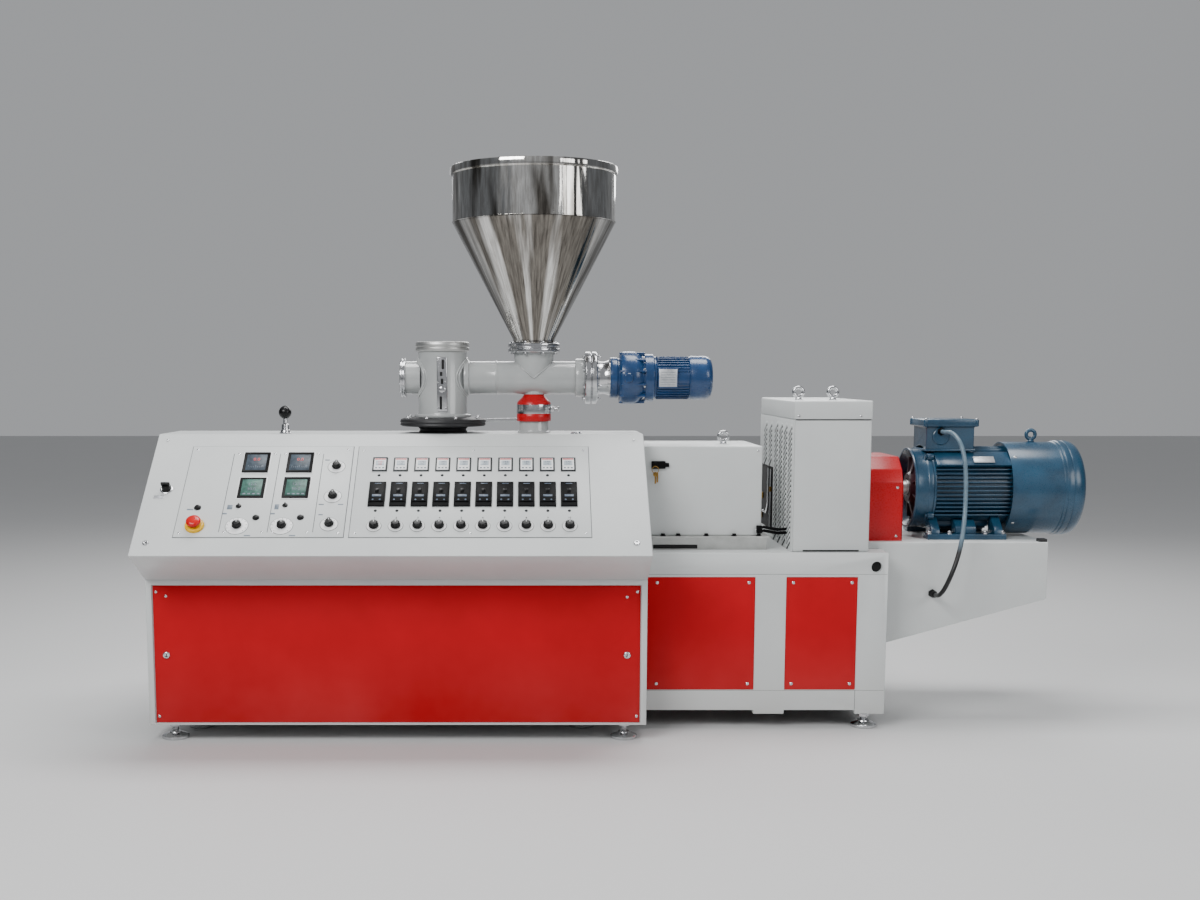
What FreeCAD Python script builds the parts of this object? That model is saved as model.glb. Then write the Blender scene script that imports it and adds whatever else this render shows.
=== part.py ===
import math
import os
import re

import FreeCAD
import Part
import Sketcher

# Conical twin-screw plastic extruder with its feeder, hopper, drive and sloping control console.
# X runs along the machine from the die end to the motor, Y from the operator to the rear, Z up.
# The origin lies on the floor, under the middle of the whole machine.  Sizes are in millimetres.

SIZES = {
    # How far a cutter runs past the face that it cuts.
    "overshoot": 1,
    # Welded base frame: two side frames, end plates and a deck.
    "frame_left": -1960,
    "frame_right": 1154,
    "frame_front": -243,
    "frame_back": 738,
    "frame_low": 66,
    "frame_top": 789,
    "side_thickness": 90,
    "bottom_rail_base": 83,
    "bottom_rail_height": 92,
    "top_rail_height": 108,
    "post_width": 136,
    "end_post_width": 132,
    "post_a": -1110,
    "post_b": -260,
    "post_c": 571,
    "end_plate": 20,
    "deck_thickness": 12,
    "leveller_bore": 24,
    "leveller_height": 726,
    "leveller_inset": 51,
    "leveller_depth": 60,
    "panel_thickness": 3,
    "panel_recess": 5,
    # Machined bed that carries the gearbox cover.
    "bed_length": 560,
    "bed_front": -127,
    "bed_back": 432,
    "bed_height": 53,
    "bed_flange": 8,
    "bed_overhang": 12,
    # Levelling feet.
    "pad_radius": 58,
    "pad_height": 14,
    "pad_cone": 12,
    "pad_neck": 26,
    "stem_radius": 14,
    "base_foot_right": 1072,
    "base_foot_middle": -192,
    "base_foot_left": -1892,
    "base_foot_inset": 45,
    "console_foot_inset": 92,
    "console_foot_front": -400,
    # Console: a low cabinet below, a desk with a sloping face above.
    "console_left": -2054,
    "console_length": 2130,
    "cabinet_front": -478,
    "cabinet_low": 74,
    "cabinet_top": 703,
    "door_border": 25,
    "door_low": 80,
    "door_height": 600,
    "door_recess": 14,
    "door_thickness": 3,
    "door_gap": 3,
    "lip_front": -725,
    "lip_height": 836,
    "desk_angle": 40,
    "desk_slope": 731,
    "desk_back": 212,
    # Control plates, measured up the slope from the lip and along from the left side.
    "plate_low": 104,
    "plate_length": 544,
    "plate_thickness": 3,
    "left_plate_start": 166,
    "left_plate_width": 698,
    "right_plate_start": 888,
    "right_plate_width": 996,
    "display_width": 112,
    "display_height": 122,
    "display_proud": 8,
    "display_first": 397,
    "display_pitch": 188,
    "display_lower": 328,
    "display_upper": 482,
    "zone_count": 10,
    "zone_first": 986,
    "zone_pitch": 90,
    "controller_width": 64,
    "controller_height": 84,
    "controller_proud": 6,
    "controller_centre": 533,
    "breaker_width": 70,
    "breaker_height": 144,
    "breaker_proud": 12,
    "breaker_centre": 350,
    "zone_knob_row": 166,
    "zone_knob_radius": 21,
    "knob_radius": 20,
    "knob_cap": 18,
    "knob_lift": 6,
    "knob_spindle": 6,
    "seat_gap": 0.3,
    "speed_knob_row": 166,
    "speed_knob_one": 420,
    "speed_knob_two": 605,
    "mode_knob_column": 800,
    "mode_knob_low": 176,
    "mode_knob_middle": 340,
    "mode_knob_high": 520,
    "stop_place": 246,
    "stop_row": 165,
    "stop_collar_radius": 40,
    "stop_collar_bore": 16,
    "stop_collar_height": 14,
    "stop_stem_radius": 15.5,
    "stop_stem_base": 9,
    "stop_head_base": 27,
    "stop_head_radius": 31,
    "stop_head_height": 16,
    "stop_dome": 8,
    "switch_place": 92,
    "switch_row": 385,
    "switch_radius": 20,
    "switch_height": 26,
    "switch_grip_length": 38,
    "switch_grip_width": 11,
    "switch_grip_height": 14,
    "pull_place": -1508,
    "pull_setback": 55,
    "pull_base_radius": 22,
    "pull_base_height": 26,
    "pull_rod_radius": 9,
    "pull_rod_height": 70,
    "pull_ball_radius": 28,
    # Barrel behind the desk, with its die flange beyond the left side.
    "barrel_axis": 22,
    "barrel_height": 1000,
    "barrel_radius": 95,
    "barrel_length": 545,
    "barrel_clearance": 6,
    "die_flange_left": -2115,
    "die_flange_radius": 112,
    "die_flange_thickness": 35,
    "die_bore": 40,
    "die_bore_depth": 200,
    "die_bolt_count": 8,
    "die_bolt_circle": 90,
    "die_bolt_radius": 9,
    "die_bolt_depth": 30,
    "barrel_cover_back": 500,
    "barrel_cover_top": 1230,
    "barrel_cover_slope": 170,
    "barrel_cover_inset": 24,
    # Gearbox cover beside the console.
    "gear_cover_right": 613,
    "gear_cover_front": -107,
    "gear_cover_back": 412,
    "gear_cover_top": 1250,
    "latch_place": 118,
    "latch_height": 1150,
    "latch_width": 62,
    "latch_tall": 34,
    "latch_thickness": 14,
    # Tall louvred cover over the drive.
    "drive_left": 735,
    "drive_right": 1074,
    "drive_front": -204,
    "drive_back": 690,
    "drive_lid_base": 1370,
    "drive_top": 1453,
    "drive_lid_lap": 3,
    "louvre_thickness": 8,
    "louvre_margin": 35,
    "louvre_slot": 22,
    "louvre_pitch": 48,
    "louvre_count": 11,
    # Motor bracket, coupling guard and motor.
    "bracket_front": -92,
    "bracket_back": 578,
    "bracket_top": 818,
    "bracket_right": 1909,
    "bracket_low_left": 349,
    "bracket_low_right": 560,
    "guard_right": 1262,
    "guard_front": -37,
    "guard_back": 481,
    "guard_top": 1195,
    "guard_bend": 1085,
    "guard_upper_bend": 1140,
    "guard_bend_back": 24,
    "guard_top_back": 95,
    "motor_axis": 222,
    "motor_height": 1040,
    "shaft_radius": 30,
    "bell_boss_left": 1305,
    "bell_boss_radius": 95,
    "bell_left": 1340,
    "bell_radius": 186,
    "bell_right": 1425,
    "motor_radius": 197,
    "fin_right": 1781,
    "motor_right": 2010,
    "motor_smooth_radius": 214,
    "cover_radius": 221,
    "cover_right": 2115,
    "cover_round": 45,
    "foot_left": 1392,
    "foot_right": 1752,
    "foot_spread": 435,
    "foot_width": 80,
    "foot_height": 30,
    "foot_web": 24,
    "terminal_left": 1400,
    "terminal_length": 220,
    "terminal_front": 112,
    "terminal_depth": 220,
    "terminal_base": 1222,
    "terminal_height": 106,
    "terminal_lid": 34,
    "terminal_lap": 14,
    "eye_height": 12,
    "eye_ring": 22,
    "eye_wire": 7,
    "eye_collar": 16,
    "motor_eye_place": 1917,
    "gear_eye_place": 466,
    "gear_eye_depth": 110,
    "drive_eye_left": 790,
    "drive_eye_right": 945,
    "drive_eye_depth": 20,
    # Conduit from the terminal box to the bracket.
    "conduit_diameter": 20,
    "gland_radius": 18,
    "gland_length": 26,
    "gland_place": 1393,
    "gland_height": 586,
    "terminal_gland_place": 1466,
    "terminal_gland_height": 1306,
    # Feed column, feeder tube, hopper and support post above the desk.
    "feed_axis": 22,
    "feed_height": 1551,
    "column_place": -816,
    "column_radius": 110,
    "column_top": 1712,
    "column_ring_radius": 121,
    "column_ring_height": 42,
    "column_foot_height": 12,
    "column_foot_radius": 128,
    "seal_top": 1377,
    "seal_thickness": 45,
    "seal_radius": 194,
    "seal_neck_radius": 109,
    "tube_left": -1004,
    "tube_radius": 74,
    "tube_right": -219,
    "end_ring_width": 24,
    "end_ring_radius": 86,
    "hopper_place": -405,
    "tee_radius": 90,
    "tee_flange_base": 1664,
    "collar_width": 42,
    "collar_radius": 86,
    "flange_width": 28,
    "flange_radius": 117,
    "neck_width": 58,
    "neck_radius": 80,
    "gear_ring_width": 40,
    "gear_ring_radius": 92,
    "gear_width": 116,
    "gear_radius": 118,
    "gear_flange_width": 40,
    "gear_flange_radius": 106,
    "feed_motor_width": 167,
    "feed_motor_radius": 96,
    "feed_cap_width": 95,
    "feed_cap_radius": 98,
    "feed_cap_round": 30,
    "post_radius": 66,
    "clamp_base": 1357,
    "clamp_height": 70,
    "clamp_radius": 75,
    "clamp_top_radius": 44,
    "clamp_dome": 50,
    "clamp_bore_gap": 0.3,
    "band_base": 1392,
    "band_height": 40,
    "band_thickness": 3,
    "hopper_flange_radius": 117,
    "hopper_flange_thickness": 45,
    "throat_radius": 94,
    "hopper_low": 1709,
    "hopper_neck": 14,
    "hopper_shoulder": 2235,
    "hopper_top": 2440,
    "hopper_radius": 362,
    "hopper_wall": 3,
    "rim_height": 34,
    "rim_radius": 371,
}

doc = FreeCAD.newDocument("Extruder")
sheet = doc.addObject("Spreadsheet::Sheet", "Sizes")
for row, (alias, value) in enumerate(SIZES.items(), start=1):
    sheet.set(f"A{row}", alias.replace("_", " "))
    sheet.set(f"B{row}", str(value))
    sheet.setAlias(f"B{row}", alias)
doc.recompute()

WORD = re.compile(r"[a-z][a-z_]*")
TURN = 360
nodes = []


def formula(text):
    """Writes each size's alias in full, as an expression of the document needs it."""
    return WORD.sub(lambda word: f"Sizes.{word[0]}" if word[0] in SIZES else word[0], str(text))


def size(alias):
    """The value of one cell, for geometry that is made outside the expressions."""
    return float(sheet.get(alias))


def bind(piece, **links):
    """Binds properties of a piece to formulas of the sheet's aliases."""
    for name, text in links.items():
        piece.setExpression(name.replace("__", "."), formula(text))
    return piece


def place(piece, x=0, y=0, z=0):
    """Binds the place of a piece."""
    return bind(piece, Placement__Base__x=x, Placement__Base__y=y, Placement__Base__z=z)


def turn(piece, axis, angle):
    """Turns a piece about an axis through its own place."""
    base = piece.Placement.Base
    piece.Placement = FreeCAD.Placement(base, FreeCAD.Rotation(FreeCAD.Vector(*axis), 1))
    return bind(piece, Placement__Rotation__Angle=angle)


def keep(piece, label):
    """Marks a finished sub-part: its label names its file."""
    piece.Label = label
    nodes.append(piece)
    return piece


def box(name, x, y, z, length, width, height):
    piece = doc.addObject("Part::Box", name)
    return place(bind(piece, Length=length, Width=width, Height=height), x, y, z)


AXES = {"x": ((0, 1, 0), 90), "y": ((1, 0, 0), -90), "-y": ((1, 0, 0), 90)}


def aim(piece, along):
    return piece if along == "z" else turn(piece, *AXES[along])


def rod(name, along, x, y, z, radius, length):
    piece = doc.addObject("Part::Cylinder", name)
    return aim(place(bind(piece, Radius=radius, Height=length), x, y, z), along)


def cone(name, along, x, y, z, first, second, length):
    piece = doc.addObject("Part::Cone", name)
    bind(piece, Radius1=first, Radius2=second, Height=length)
    return aim(place(piece, x, y, z), along)


def ball(name, x, y, z, radius):
    piece = doc.addObject("Part::Sphere", name)
    return place(bind(piece, Radius=radius), x, y, z)


def ring(name, along, x, y, z, radius, wire):
    piece = doc.addObject("Part::Torus", name)
    return aim(place(bind(piece, Radius1=radius, Radius2=wire), x, y, z), along)


def fuse(name, *pieces):
    piece = doc.addObject("Part::MultiFuse", name)
    piece.Shapes = list(pieces)
    piece.Refine = True
    return piece


def cut(name, body, *tools):
    piece = doc.addObject("Part::Cut", name)
    piece.Base = body
    piece.Tool = tools[0] if len(tools) == 1 else group(name + "_tools", *tools)
    piece.Refine = True
    return piece


def group(name, *pieces):
    """Like pieces that don't touch, kept together in one sub-part."""
    piece = doc.addObject("Part::Compound", name)
    piece.Links = list(pieces)
    return piece


def outline(name, role, points, closed=True):
    """A PartDesign body with a sketch on one origin plane, every corner bound to the sheet."""
    body = doc.addObject("PartDesign::Body", name)
    plane = next(f for f in body.Origin.OriginFeatures if f.Role == role)
    sketch = body.newObject("Sketcher::SketchObject", name + "_sketch")
    sketch.AttachmentSupport = (plane, [""])
    sketch.MapMode = "FlatFace"
    corners = [tuple(sheet_value(text) for text in point) for point in points]
    count = len(corners)
    for start, end in zip(corners, corners[1:] + corners[:1]):
        edge = Part.LineSegment(FreeCAD.Vector(*start, 0), FreeCAD.Vector(*end, 0))
        sketch.addGeometry(edge, False)
    for index in range(count):
        sketch.addConstraint(Sketcher.Constraint("Coincident", index, 2, (index + 1) % count, 1))
    for index, point in enumerate(points):
        for kind, text, value in zip(("DistanceX", "DistanceY"), point, corners[index]):
            number = sketch.addConstraint(Sketcher.Constraint(kind, -1, 1, index, 1, value))
            sketch.setExpression(f"Constraints[{number}]", formula(text))
    return body, sketch


def sheet_value(text):
    """Works a formula out with the sheet's numbers, for a sketch's first geometry."""
    scratch = doc.getObject("Scratch") or doc.addObject("App::FeaturePython", "Scratch")
    if "Result" not in scratch.PropertiesList:
        scratch.addProperty("App::PropertyFloat", "Result")
    scratch.setExpression("Result", formula(text))
    scratch.recompute()
    return scratch.Result


def prism(name, role, points, length, x=0, y=0, z=0, reverse=False):
    """A sketch padded along its normal."""
    body, sketch = outline(name, role, points)
    pad = body.newObject("PartDesign::Pad", name + "_pad")
    pad.Profile = sketch
    pad.Reversed = reverse
    bind(pad, Length=length)
    return place(body, x, y, z)


def revolve(name, points, x, y, z):
    """A sketch of radius and height turned about the vertical axis of its body."""
    body, sketch = outline(name, "XZ_Plane", points)
    turned = body.newObject("PartDesign::Revolution", name + "_turn")
    turned.Profile = sketch
    turned.ReferenceAxis = (sketch, ["V_Axis"])
    turned.Angle = TURN
    return place(body, x, y, z)


# Base frame.

def side_frame(name, front):
    """A ladder of rails and posts, with a pad under each post."""
    whole = "frame_right - frame_left"
    pieces = [
        box(name + "_low", "frame_left", front, "bottom_rail_base", whole, "side_thickness",
            "bottom_rail_height"),
        box(name + "_top", "frame_left", front, "frame_top - top_rail_height", whole, "side_thickness",
            "top_rail_height"),
    ]
    posts = [("frame_left", "post_width"), ("post_a", "post_width"), ("post_b", "post_width"),
             ("post_c", "post_width"), ("frame_right - end_post_width", "end_post_width")]
    for number, (left, width) in enumerate(posts):
        high = "frame_top - frame_low"
        pieces.append(box(f"{name}_post{number}", left, front, "frame_low", width, "side_thickness", high))
    return fuse(name, *pieces)


front_side = side_frame("front_side", "frame_front")
hole = rod("leveller_hole", "y", "frame_right - leveller_inset", "frame_front - overshoot",
           "leveller_height", "leveller_bore", "leveller_depth + overshoot")
front_side = cut("front_side_drilled", front_side, hole)
rear_side = side_frame("rear_side", "frame_back - side_thickness")
keep(group("sides", front_side, rear_side), "base_side_frames")

inside = "frame_back - frame_front - 2 * side_thickness"
ends = [box(f"end_{number}", left, "frame_front + side_thickness", "bottom_rail_base", "end_plate", inside,
            "frame_top - bottom_rail_base")
        for number, left in enumerate(["frame_left", "frame_right - end_plate"])]
keep(group("ends", *ends), "base_end_plates")

keep(box("deck", "frame_left + end_plate", "frame_front + side_thickness", "frame_top - deck_thickness",
         "frame_right - frame_left - 2 * end_plate", inside, "deck_thickness"), "base_deck")

BAYS = [("frame_left + post_width", "post_a"), ("post_a + post_width", "post_b"),
        ("post_b + post_width", "post_c"), ("post_c + post_width", "frame_right - end_post_width")]


def bay_panels(name, face):
    """Sheet panels seated face to face in the bays, a little behind the posts."""
    panels = []
    for number, (left, right) in enumerate(BAYS):
        low = "bottom_rail_base + bottom_rail_height"
        high = f"frame_top - top_rail_height - ({low})"
        length = f"{right} - ({left})"
        panels.append(box(f"{name}_{number}", left, face, low, length, "panel_thickness", high))
    return group(name, *panels)


keep(bay_panels("front_bays", "frame_front + panel_recess"), "base_front_panels")
keep(bay_panels("rear_bays", "frame_back - panel_recess - panel_thickness"), "base_rear_panels")

bed_body = box("bed_body", "console_left + console_length", "bed_front", "frame_top", "bed_length",
               "bed_back - bed_front", "bed_height")
bed_top = box("bed_top", "console_left + console_length", "bed_front - bed_overhang",
              "frame_top + bed_height", "bed_length + bed_overhang",
              "bed_back - bed_front + 2 * bed_overhang", "bed_flange")
keep(fuse("bed", bed_body, bed_top), "gearbox_bed")


def foot(name, x, y, top):
    """Round pad, cone and threaded stem up to what the foot carries."""
    pad = rod(name + "_pad", "z", x, y, 0, "pad_radius", "pad_height")
    slope = cone(name + "_cone", "z", x, y, "pad_height", "pad_radius", "pad_neck", "pad_cone")
    stem = rod(name + "_stem", "z", x, y, "pad_height", "stem_radius", f"{top} - pad_height")
    return fuse(name, pad, slope, stem)


feet = []
for number, x in enumerate(["base_foot_right", "base_foot_middle", "base_foot_left"]):
    feet.append(foot(f"front_foot{number}", x, "frame_front + base_foot_inset", "frame_low"))
    feet.append(foot(f"rear_foot{number}", x, "frame_back - base_foot_inset", "frame_low"))
for number, x in enumerate(["console_left + console_foot_inset",
                            "console_left + console_length - console_foot_inset"]):
    feet.append(foot(f"console_foot{number}", x, "console_foot_front", "cabinet_low"))
keep(group("feet", *feet), "levelling_feet")

# Console.
cabinet = box("cabinet_block", "console_left", "cabinet_front", "cabinet_low", "console_length",
              "frame_front - cabinet_front", "cabinet_top - cabinet_low")
door_hole = box("door_hole", "console_left + door_border", "cabinet_front - overshoot", "door_low",
                "console_length - 2 * door_border", "door_recess + overshoot", "door_height")
keep(cut("cabinet", cabinet, door_hole), "console_cabinet")
keep(box("door", "console_left + door_border + door_gap", "cabinet_front + door_recess - door_thickness",
         "door_low + door_gap", "console_length - 2 * door_border - 2 * door_gap", "door_thickness",
         "door_height - 2 * door_gap"), "console_door_panel")

DESK_TOP = "lip_height + desk_slope * sin(desk_angle)"
DESK_EDGE = "lip_front + desk_slope * cos(desk_angle)"
desk = prism("desk_block", "YZ_Plane", [
    ("lip_front", "lip_height"), ("cabinet_front", "cabinet_top"), ("frame_front", "cabinet_top"),
    ("frame_front", "frame_top"), ("desk_back", "frame_top"), ("desk_back", DESK_TOP),
    (DESK_EDGE, DESK_TOP)], "console_length", x="console_left")
barrel_pocket = rod("barrel_pocket", "x", "console_left - overshoot", "barrel_axis", "barrel_height",
                    "barrel_radius + barrel_clearance",
                    "barrel_length - (console_left - die_flange_left) + overshoot")
keep(cut("desk", desk, barrel_pocket), "console_desk")


def on_desk(piece, along, up, out=0):
    """Seats a piece on the sloping face: along from the left side, up from the lip, out from the face."""
    place(piece, f"console_left + {along}",
          f"lip_front + ({up}) * cos(desk_angle) - ({out}) * sin(desk_angle)",
          f"lip_height + ({up}) * sin(desk_angle) + ({out}) * cos(desk_angle)")
    return turn(piece, (1, 0, 0), "desk_angle")


def slab(name, along, up, out, length, width, height):
    return on_desk(box(name, 0, 0, 0, length, width, height), along, up, out)


left_plate = slab("left_plate", "left_plate_start", "plate_low", 0, "left_plate_width", "plate_length",
                  "plate_thickness")
right_plate = slab("right_plate", "right_plate_start", "plate_low", 0, "right_plate_width", "plate_length",
                   "plate_thickness")
keep(group("plates", left_plate, right_plate), "control_plates")

displays = [slab(f"display{column}{row}", f"display_first + {column} * display_pitch", up, "plate_thickness",
                 "display_width", "display_height", "display_proud")
            for column in range(2) for row, up in enumerate(["display_lower", "display_upper"])]
keep(group("displays", *displays), "display_units")

ZONES = range(int(size("zone_count")))


def zone_row(name, centre, width, height, proud):
    return group(name, *[
        slab(f"{name}{zone}", f"zone_first + {zone} * zone_pitch - {width} / 2", f"{centre} - {height} / 2",
             "plate_thickness", width, height, proud) for zone in ZONES])


keep(zone_row("controller", "controller_centre", "controller_width", "controller_height",
              "controller_proud"), "temperature_controllers")
keep(zone_row("breaker", "breaker_centre", "breaker_width", "breaker_height", "breaker_proud"),
     "zone_breakers")


def knob(name, along, up, radius):
    """A cap on a spindle that stops just short of the plate."""
    spindle = rod(name + "_spindle", "z", 0, 0, 0, "knob_spindle", "knob_lift + knob_cap / 2")
    cap = rod(name + "_cap", "z", 0, 0, "knob_lift - seat_gap", radius, "knob_cap")
    return keep(on_desk(fuse(name, spindle, cap), along, up, "plate_thickness + seat_gap"), name)


for zone in ZONES:
    knob(f"zone_knob_{zone + 1}", f"zone_first + {zone} * zone_pitch", "zone_knob_row", "zone_knob_radius")
knob("screw_speed_knob", "speed_knob_one", "speed_knob_row", "knob_radius")
knob("feeder_speed_knob", "speed_knob_two", "speed_knob_row", "knob_radius")
knob("mode_knob_low", "mode_knob_column", "mode_knob_low", "knob_radius")
knob("mode_knob_middle", "mode_knob_column", "mode_knob_middle", "knob_radius")
knob("mode_knob_high", "mode_knob_column", "mode_knob_high", "knob_radius")

collar_disc = rod("stop_collar_disc", "z", 0, 0, 0, "stop_collar_radius", "stop_collar_height")
collar_hole = rod("stop_collar_hole", "z", 0, 0, "-overshoot", "stop_collar_bore",
                  "stop_collar_height + 2 * overshoot")
collar = cut("stop_collar", collar_disc, collar_hole)
keep(on_desk(collar, "stop_place", "stop_row", "plate_thickness"), "emergency_stop_collar")
stop_stem = rod("stop_stem", "z", 0, 0, "stop_stem_base", "stop_stem_radius",
                "stop_head_base - stop_stem_base + stop_head_height / 2")
stop_head = rod("stop_head", "z", 0, 0, "stop_head_base", "stop_head_radius",
                "stop_head_height - stop_dome")
stop_dome = cone("stop_dome", "z", 0, 0, "stop_head_base + stop_head_height - stop_dome",
                 "stop_head_radius", "stop_head_radius - stop_dome", "stop_dome")
keep(on_desk(fuse("stop_button", stop_stem, stop_head, stop_dome), "stop_place", "stop_row",
             "plate_thickness"), "emergency_stop_button")

switch_body = rod("switch_body", "z", 0, 0, 0, "switch_radius", "switch_height")
switch_grip = box("switch_grip", "-switch_grip_length / 2", "-switch_grip_width / 2", "switch_height",
                  "switch_grip_length", "switch_grip_width", "switch_grip_height")
keep(on_desk(fuse("switch", switch_body, switch_grip), "switch_place", "switch_row"), "main_switch")

PULL_Y = f"{DESK_EDGE} + pull_setback"
pull_base = cone("pull_base", "z", "pull_place", PULL_Y, DESK_TOP, "pull_base_radius",
                 "pull_base_radius / 2", "pull_base_height")
pull_rod = rod("pull_rod", "z", "pull_place", PULL_Y, DESK_TOP, "pull_rod_radius",
               "pull_base_height + pull_rod_height")
pull_ball = ball("pull_ball", "pull_place", PULL_Y,
                 f"{DESK_TOP} + pull_base_height + pull_rod_height", "pull_ball_radius")
keep(fuse("pull", pull_base, pull_rod, pull_ball), "vent_pull_knob")

# Barrel and its rear cover.
barrel_tube = rod("barrel_tube", "x", "die_flange_left", "barrel_axis", "barrel_height", "barrel_radius",
                  "barrel_length")
die_flange = rod("die_flange", "x", "die_flange_left", "barrel_axis", "barrel_height",
                 "die_flange_radius", "die_flange_thickness")
die_bore = rod("die_bore", "x", "die_flange_left - overshoot", "barrel_axis", "barrel_height", "die_bore",
               "die_bore_depth + overshoot")
die_bolts = []
for number in range(int(size("die_bolt_count"))):
    angle = f"({number} + 1 / 2) * {TURN} / die_bolt_count"
    die_bolts.append(rod(f"die_bolt{number}", "x", "die_flange_left - overshoot",
                         f"barrel_axis + die_bolt_circle * cos({angle})",
                         f"barrel_height + die_bolt_circle * sin({angle})",
                         "die_bolt_radius", "die_bolt_depth + overshoot"))
keep(cut("barrel", fuse("barrel_solid", barrel_tube, die_flange), die_bore, *die_bolts), "barrel")

keep(prism("rear_cover", "YZ_Plane", [
    ("desk_back", "frame_top"), ("barrel_cover_back", "frame_top"),
    ("barrel_cover_back", "barrel_cover_top - barrel_cover_slope"),
    ("barrel_cover_back - barrel_cover_slope", "barrel_cover_top"), ("desk_back", "barrel_cover_top")],
    "console_length - 2 * barrel_cover_inset", x="console_left + barrel_cover_inset"), "barrel_rear_cover")

# Gearbox cover and the tall drive cover.
GEAR_LEFT = "console_left + console_length"
BED_TOP = "frame_top + bed_height + bed_flange"
keep(box("gear_cover", GEAR_LEFT, "gear_cover_front", BED_TOP, f"gear_cover_right - ({GEAR_LEFT})",
         "gear_cover_back - gear_cover_front", f"gear_cover_top - ({BED_TOP})"), "gearbox_cover")
keep(box("latch", "latch_place", "gear_cover_front - latch_thickness", "latch_height", "latch_width",
         "latch_thickness", "latch_tall"), "gearbox_cover_latch")
keep(box("drive_cover", "drive_left", "drive_front", "frame_top", "drive_right - drive_left",
         "drive_back - drive_front", "drive_lid_base - frame_top"), "drive_cover")
keep(box("drive_lid", "drive_left - drive_lid_lap", "drive_front - drive_lid_lap", "drive_lid_base",
         "drive_right - drive_left + 2 * drive_lid_lap", "drive_back - drive_front + 2 * drive_lid_lap",
         "drive_top - drive_lid_base"), "drive_cover_lid")
louvre_sheet = box("louvre_sheet", "drive_left - louvre_thickness", "drive_front", "frame_top",
                   "louvre_thickness", "drive_back - drive_front", "drive_lid_base - frame_top")
louvre_slots = []
for number in range(int(size("louvre_count"))):
    low = f"frame_top + louvre_margin + {number} * louvre_pitch"
    louvre_slots.append(box(f"louvre_slot{number}", "drive_left - louvre_thickness - overshoot",
                            "drive_front + louvre_margin", low, "louvre_thickness + 2 * overshoot",
                            "drive_back - drive_front - 2 * louvre_margin", "louvre_slot"))
keep(cut("louvres", louvre_sheet, *louvre_slots), "drive_cover_louvres")

# Motor bracket, guard and motor.
arm = prism("bracket_arm", "XZ_Plane", [
    ("frame_right", "bracket_low_left"), ("bracket_right", "bracket_low_right"),
    ("bracket_right", "bracket_top"), ("frame_right", "bracket_top")],
    "bracket_back - bracket_front", y="bracket_back")
tongue = box("bracket_tongue", "drive_right", "bracket_front", "frame_top", "frame_right - drive_right",
             "bracket_back - bracket_front", "bracket_top - frame_top")
keep(fuse("bracket", arm, tongue), "motor_bracket")

guard_body = prism("guard_body", "YZ_Plane", [
    ("guard_front", "bracket_top"), ("guard_back", "bracket_top"), ("guard_back", "guard_bend"),
    ("guard_back - guard_bend_back", "guard_upper_bend"), ("guard_back - guard_top_back", "guard_top"),
    ("guard_front + guard_top_back", "guard_top"), ("guard_front + guard_bend_back", "guard_upper_bend"),
    ("guard_front", "guard_bend")], "guard_right - drive_right", x="drive_right")
keep(guard_body, "coupling_guard")


def motor_rod(name, left, right, radius):
    return rod(name, "x", left, "motor_axis", "motor_height", radius, f"{right} - ({left})")


keep(fuse("bell", motor_rod("shaft", "guard_right", "bell_left", "shaft_radius"),
          motor_rod("bell_boss", "bell_boss_left", "bell_left", "bell_boss_radius"),
          motor_rod("bell_disc", "bell_left", "bell_right", "bell_radius")), "motor_end_bell")

FEET_Y = ["motor_axis - foot_spread / 2", "motor_axis + foot_spread / 2 - foot_width"]
motor_feet = [box(f"motor_foot{number}", "foot_left", y, "bracket_top", "foot_right - foot_left",
                  "foot_width", "foot_height") for number, y in enumerate(FEET_Y)]
WEB_X = ["bell_right", "foot_right - foot_web"]
webs = [box(f"motor_web{number}", x, "motor_axis - foot_spread / 2 + foot_width / 4", "bracket_top",
            "foot_web", "foot_spread - foot_width / 2", "motor_height - motor_radius / 2 - bracket_top")
        for number, x in enumerate(WEB_X)]
motor_body = fuse("motor_body", motor_rod("motor_tube", "bell_right", "fin_right", "motor_radius"),
                  motor_rod("motor_rear", "fin_right", "motor_right", "motor_smooth_radius"),
                  *motor_feet, *webs)
keep(motor_body, "motor_frame")


def round_far_rim(name, disc, radius):
    """Rounds the far rim of a rod that lies along X."""
    piece = doc.addObject("Part::Fillet", name)
    piece.Base = disc
    rim = max(range(len(disc.Shape.Edges)), key=lambda index: disc.Shape.Edges[index].BoundBox.XMin)
    piece.Edges = [(rim + 1, size(radius), size(radius))]
    return piece


cowl_disc = motor_rod("cowl_disc", "motor_right", "cover_right", "cover_radius")
doc.recompute()
keep(round_far_rim("cowl", cowl_disc, "cover_round"), "motor_fan_cowl")

terminal_body = box("terminal_body", "terminal_left", "terminal_front", "terminal_base",
                    "terminal_length", "terminal_depth", "terminal_height")
terminal_lid = box("terminal_lid", "terminal_left - terminal_lap", "terminal_front - terminal_lap",
                   "terminal_base + terminal_height", "terminal_length + 2 * terminal_lap",
                   "terminal_depth + 2 * terminal_lap", "terminal_lid")
seat = motor_rod("terminal_seat", "bell_left", "fin_right", "motor_radius + seat_gap")
keep(cut("terminal", fuse("terminal_solid", terminal_body, terminal_lid), seat), "terminal_box")


def eye(name, x, y, z):
    """A lifting eye with its collar, standing on a surface."""
    stand = rod(name + "_collar", "z", x, y, z, "eye_collar", "eye_height")
    loop = ring(name + "_ring", "y", x, y, f"{z} + eye_height + eye_ring", "eye_ring", "eye_wire")
    return fuse(name, stand, loop)


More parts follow.
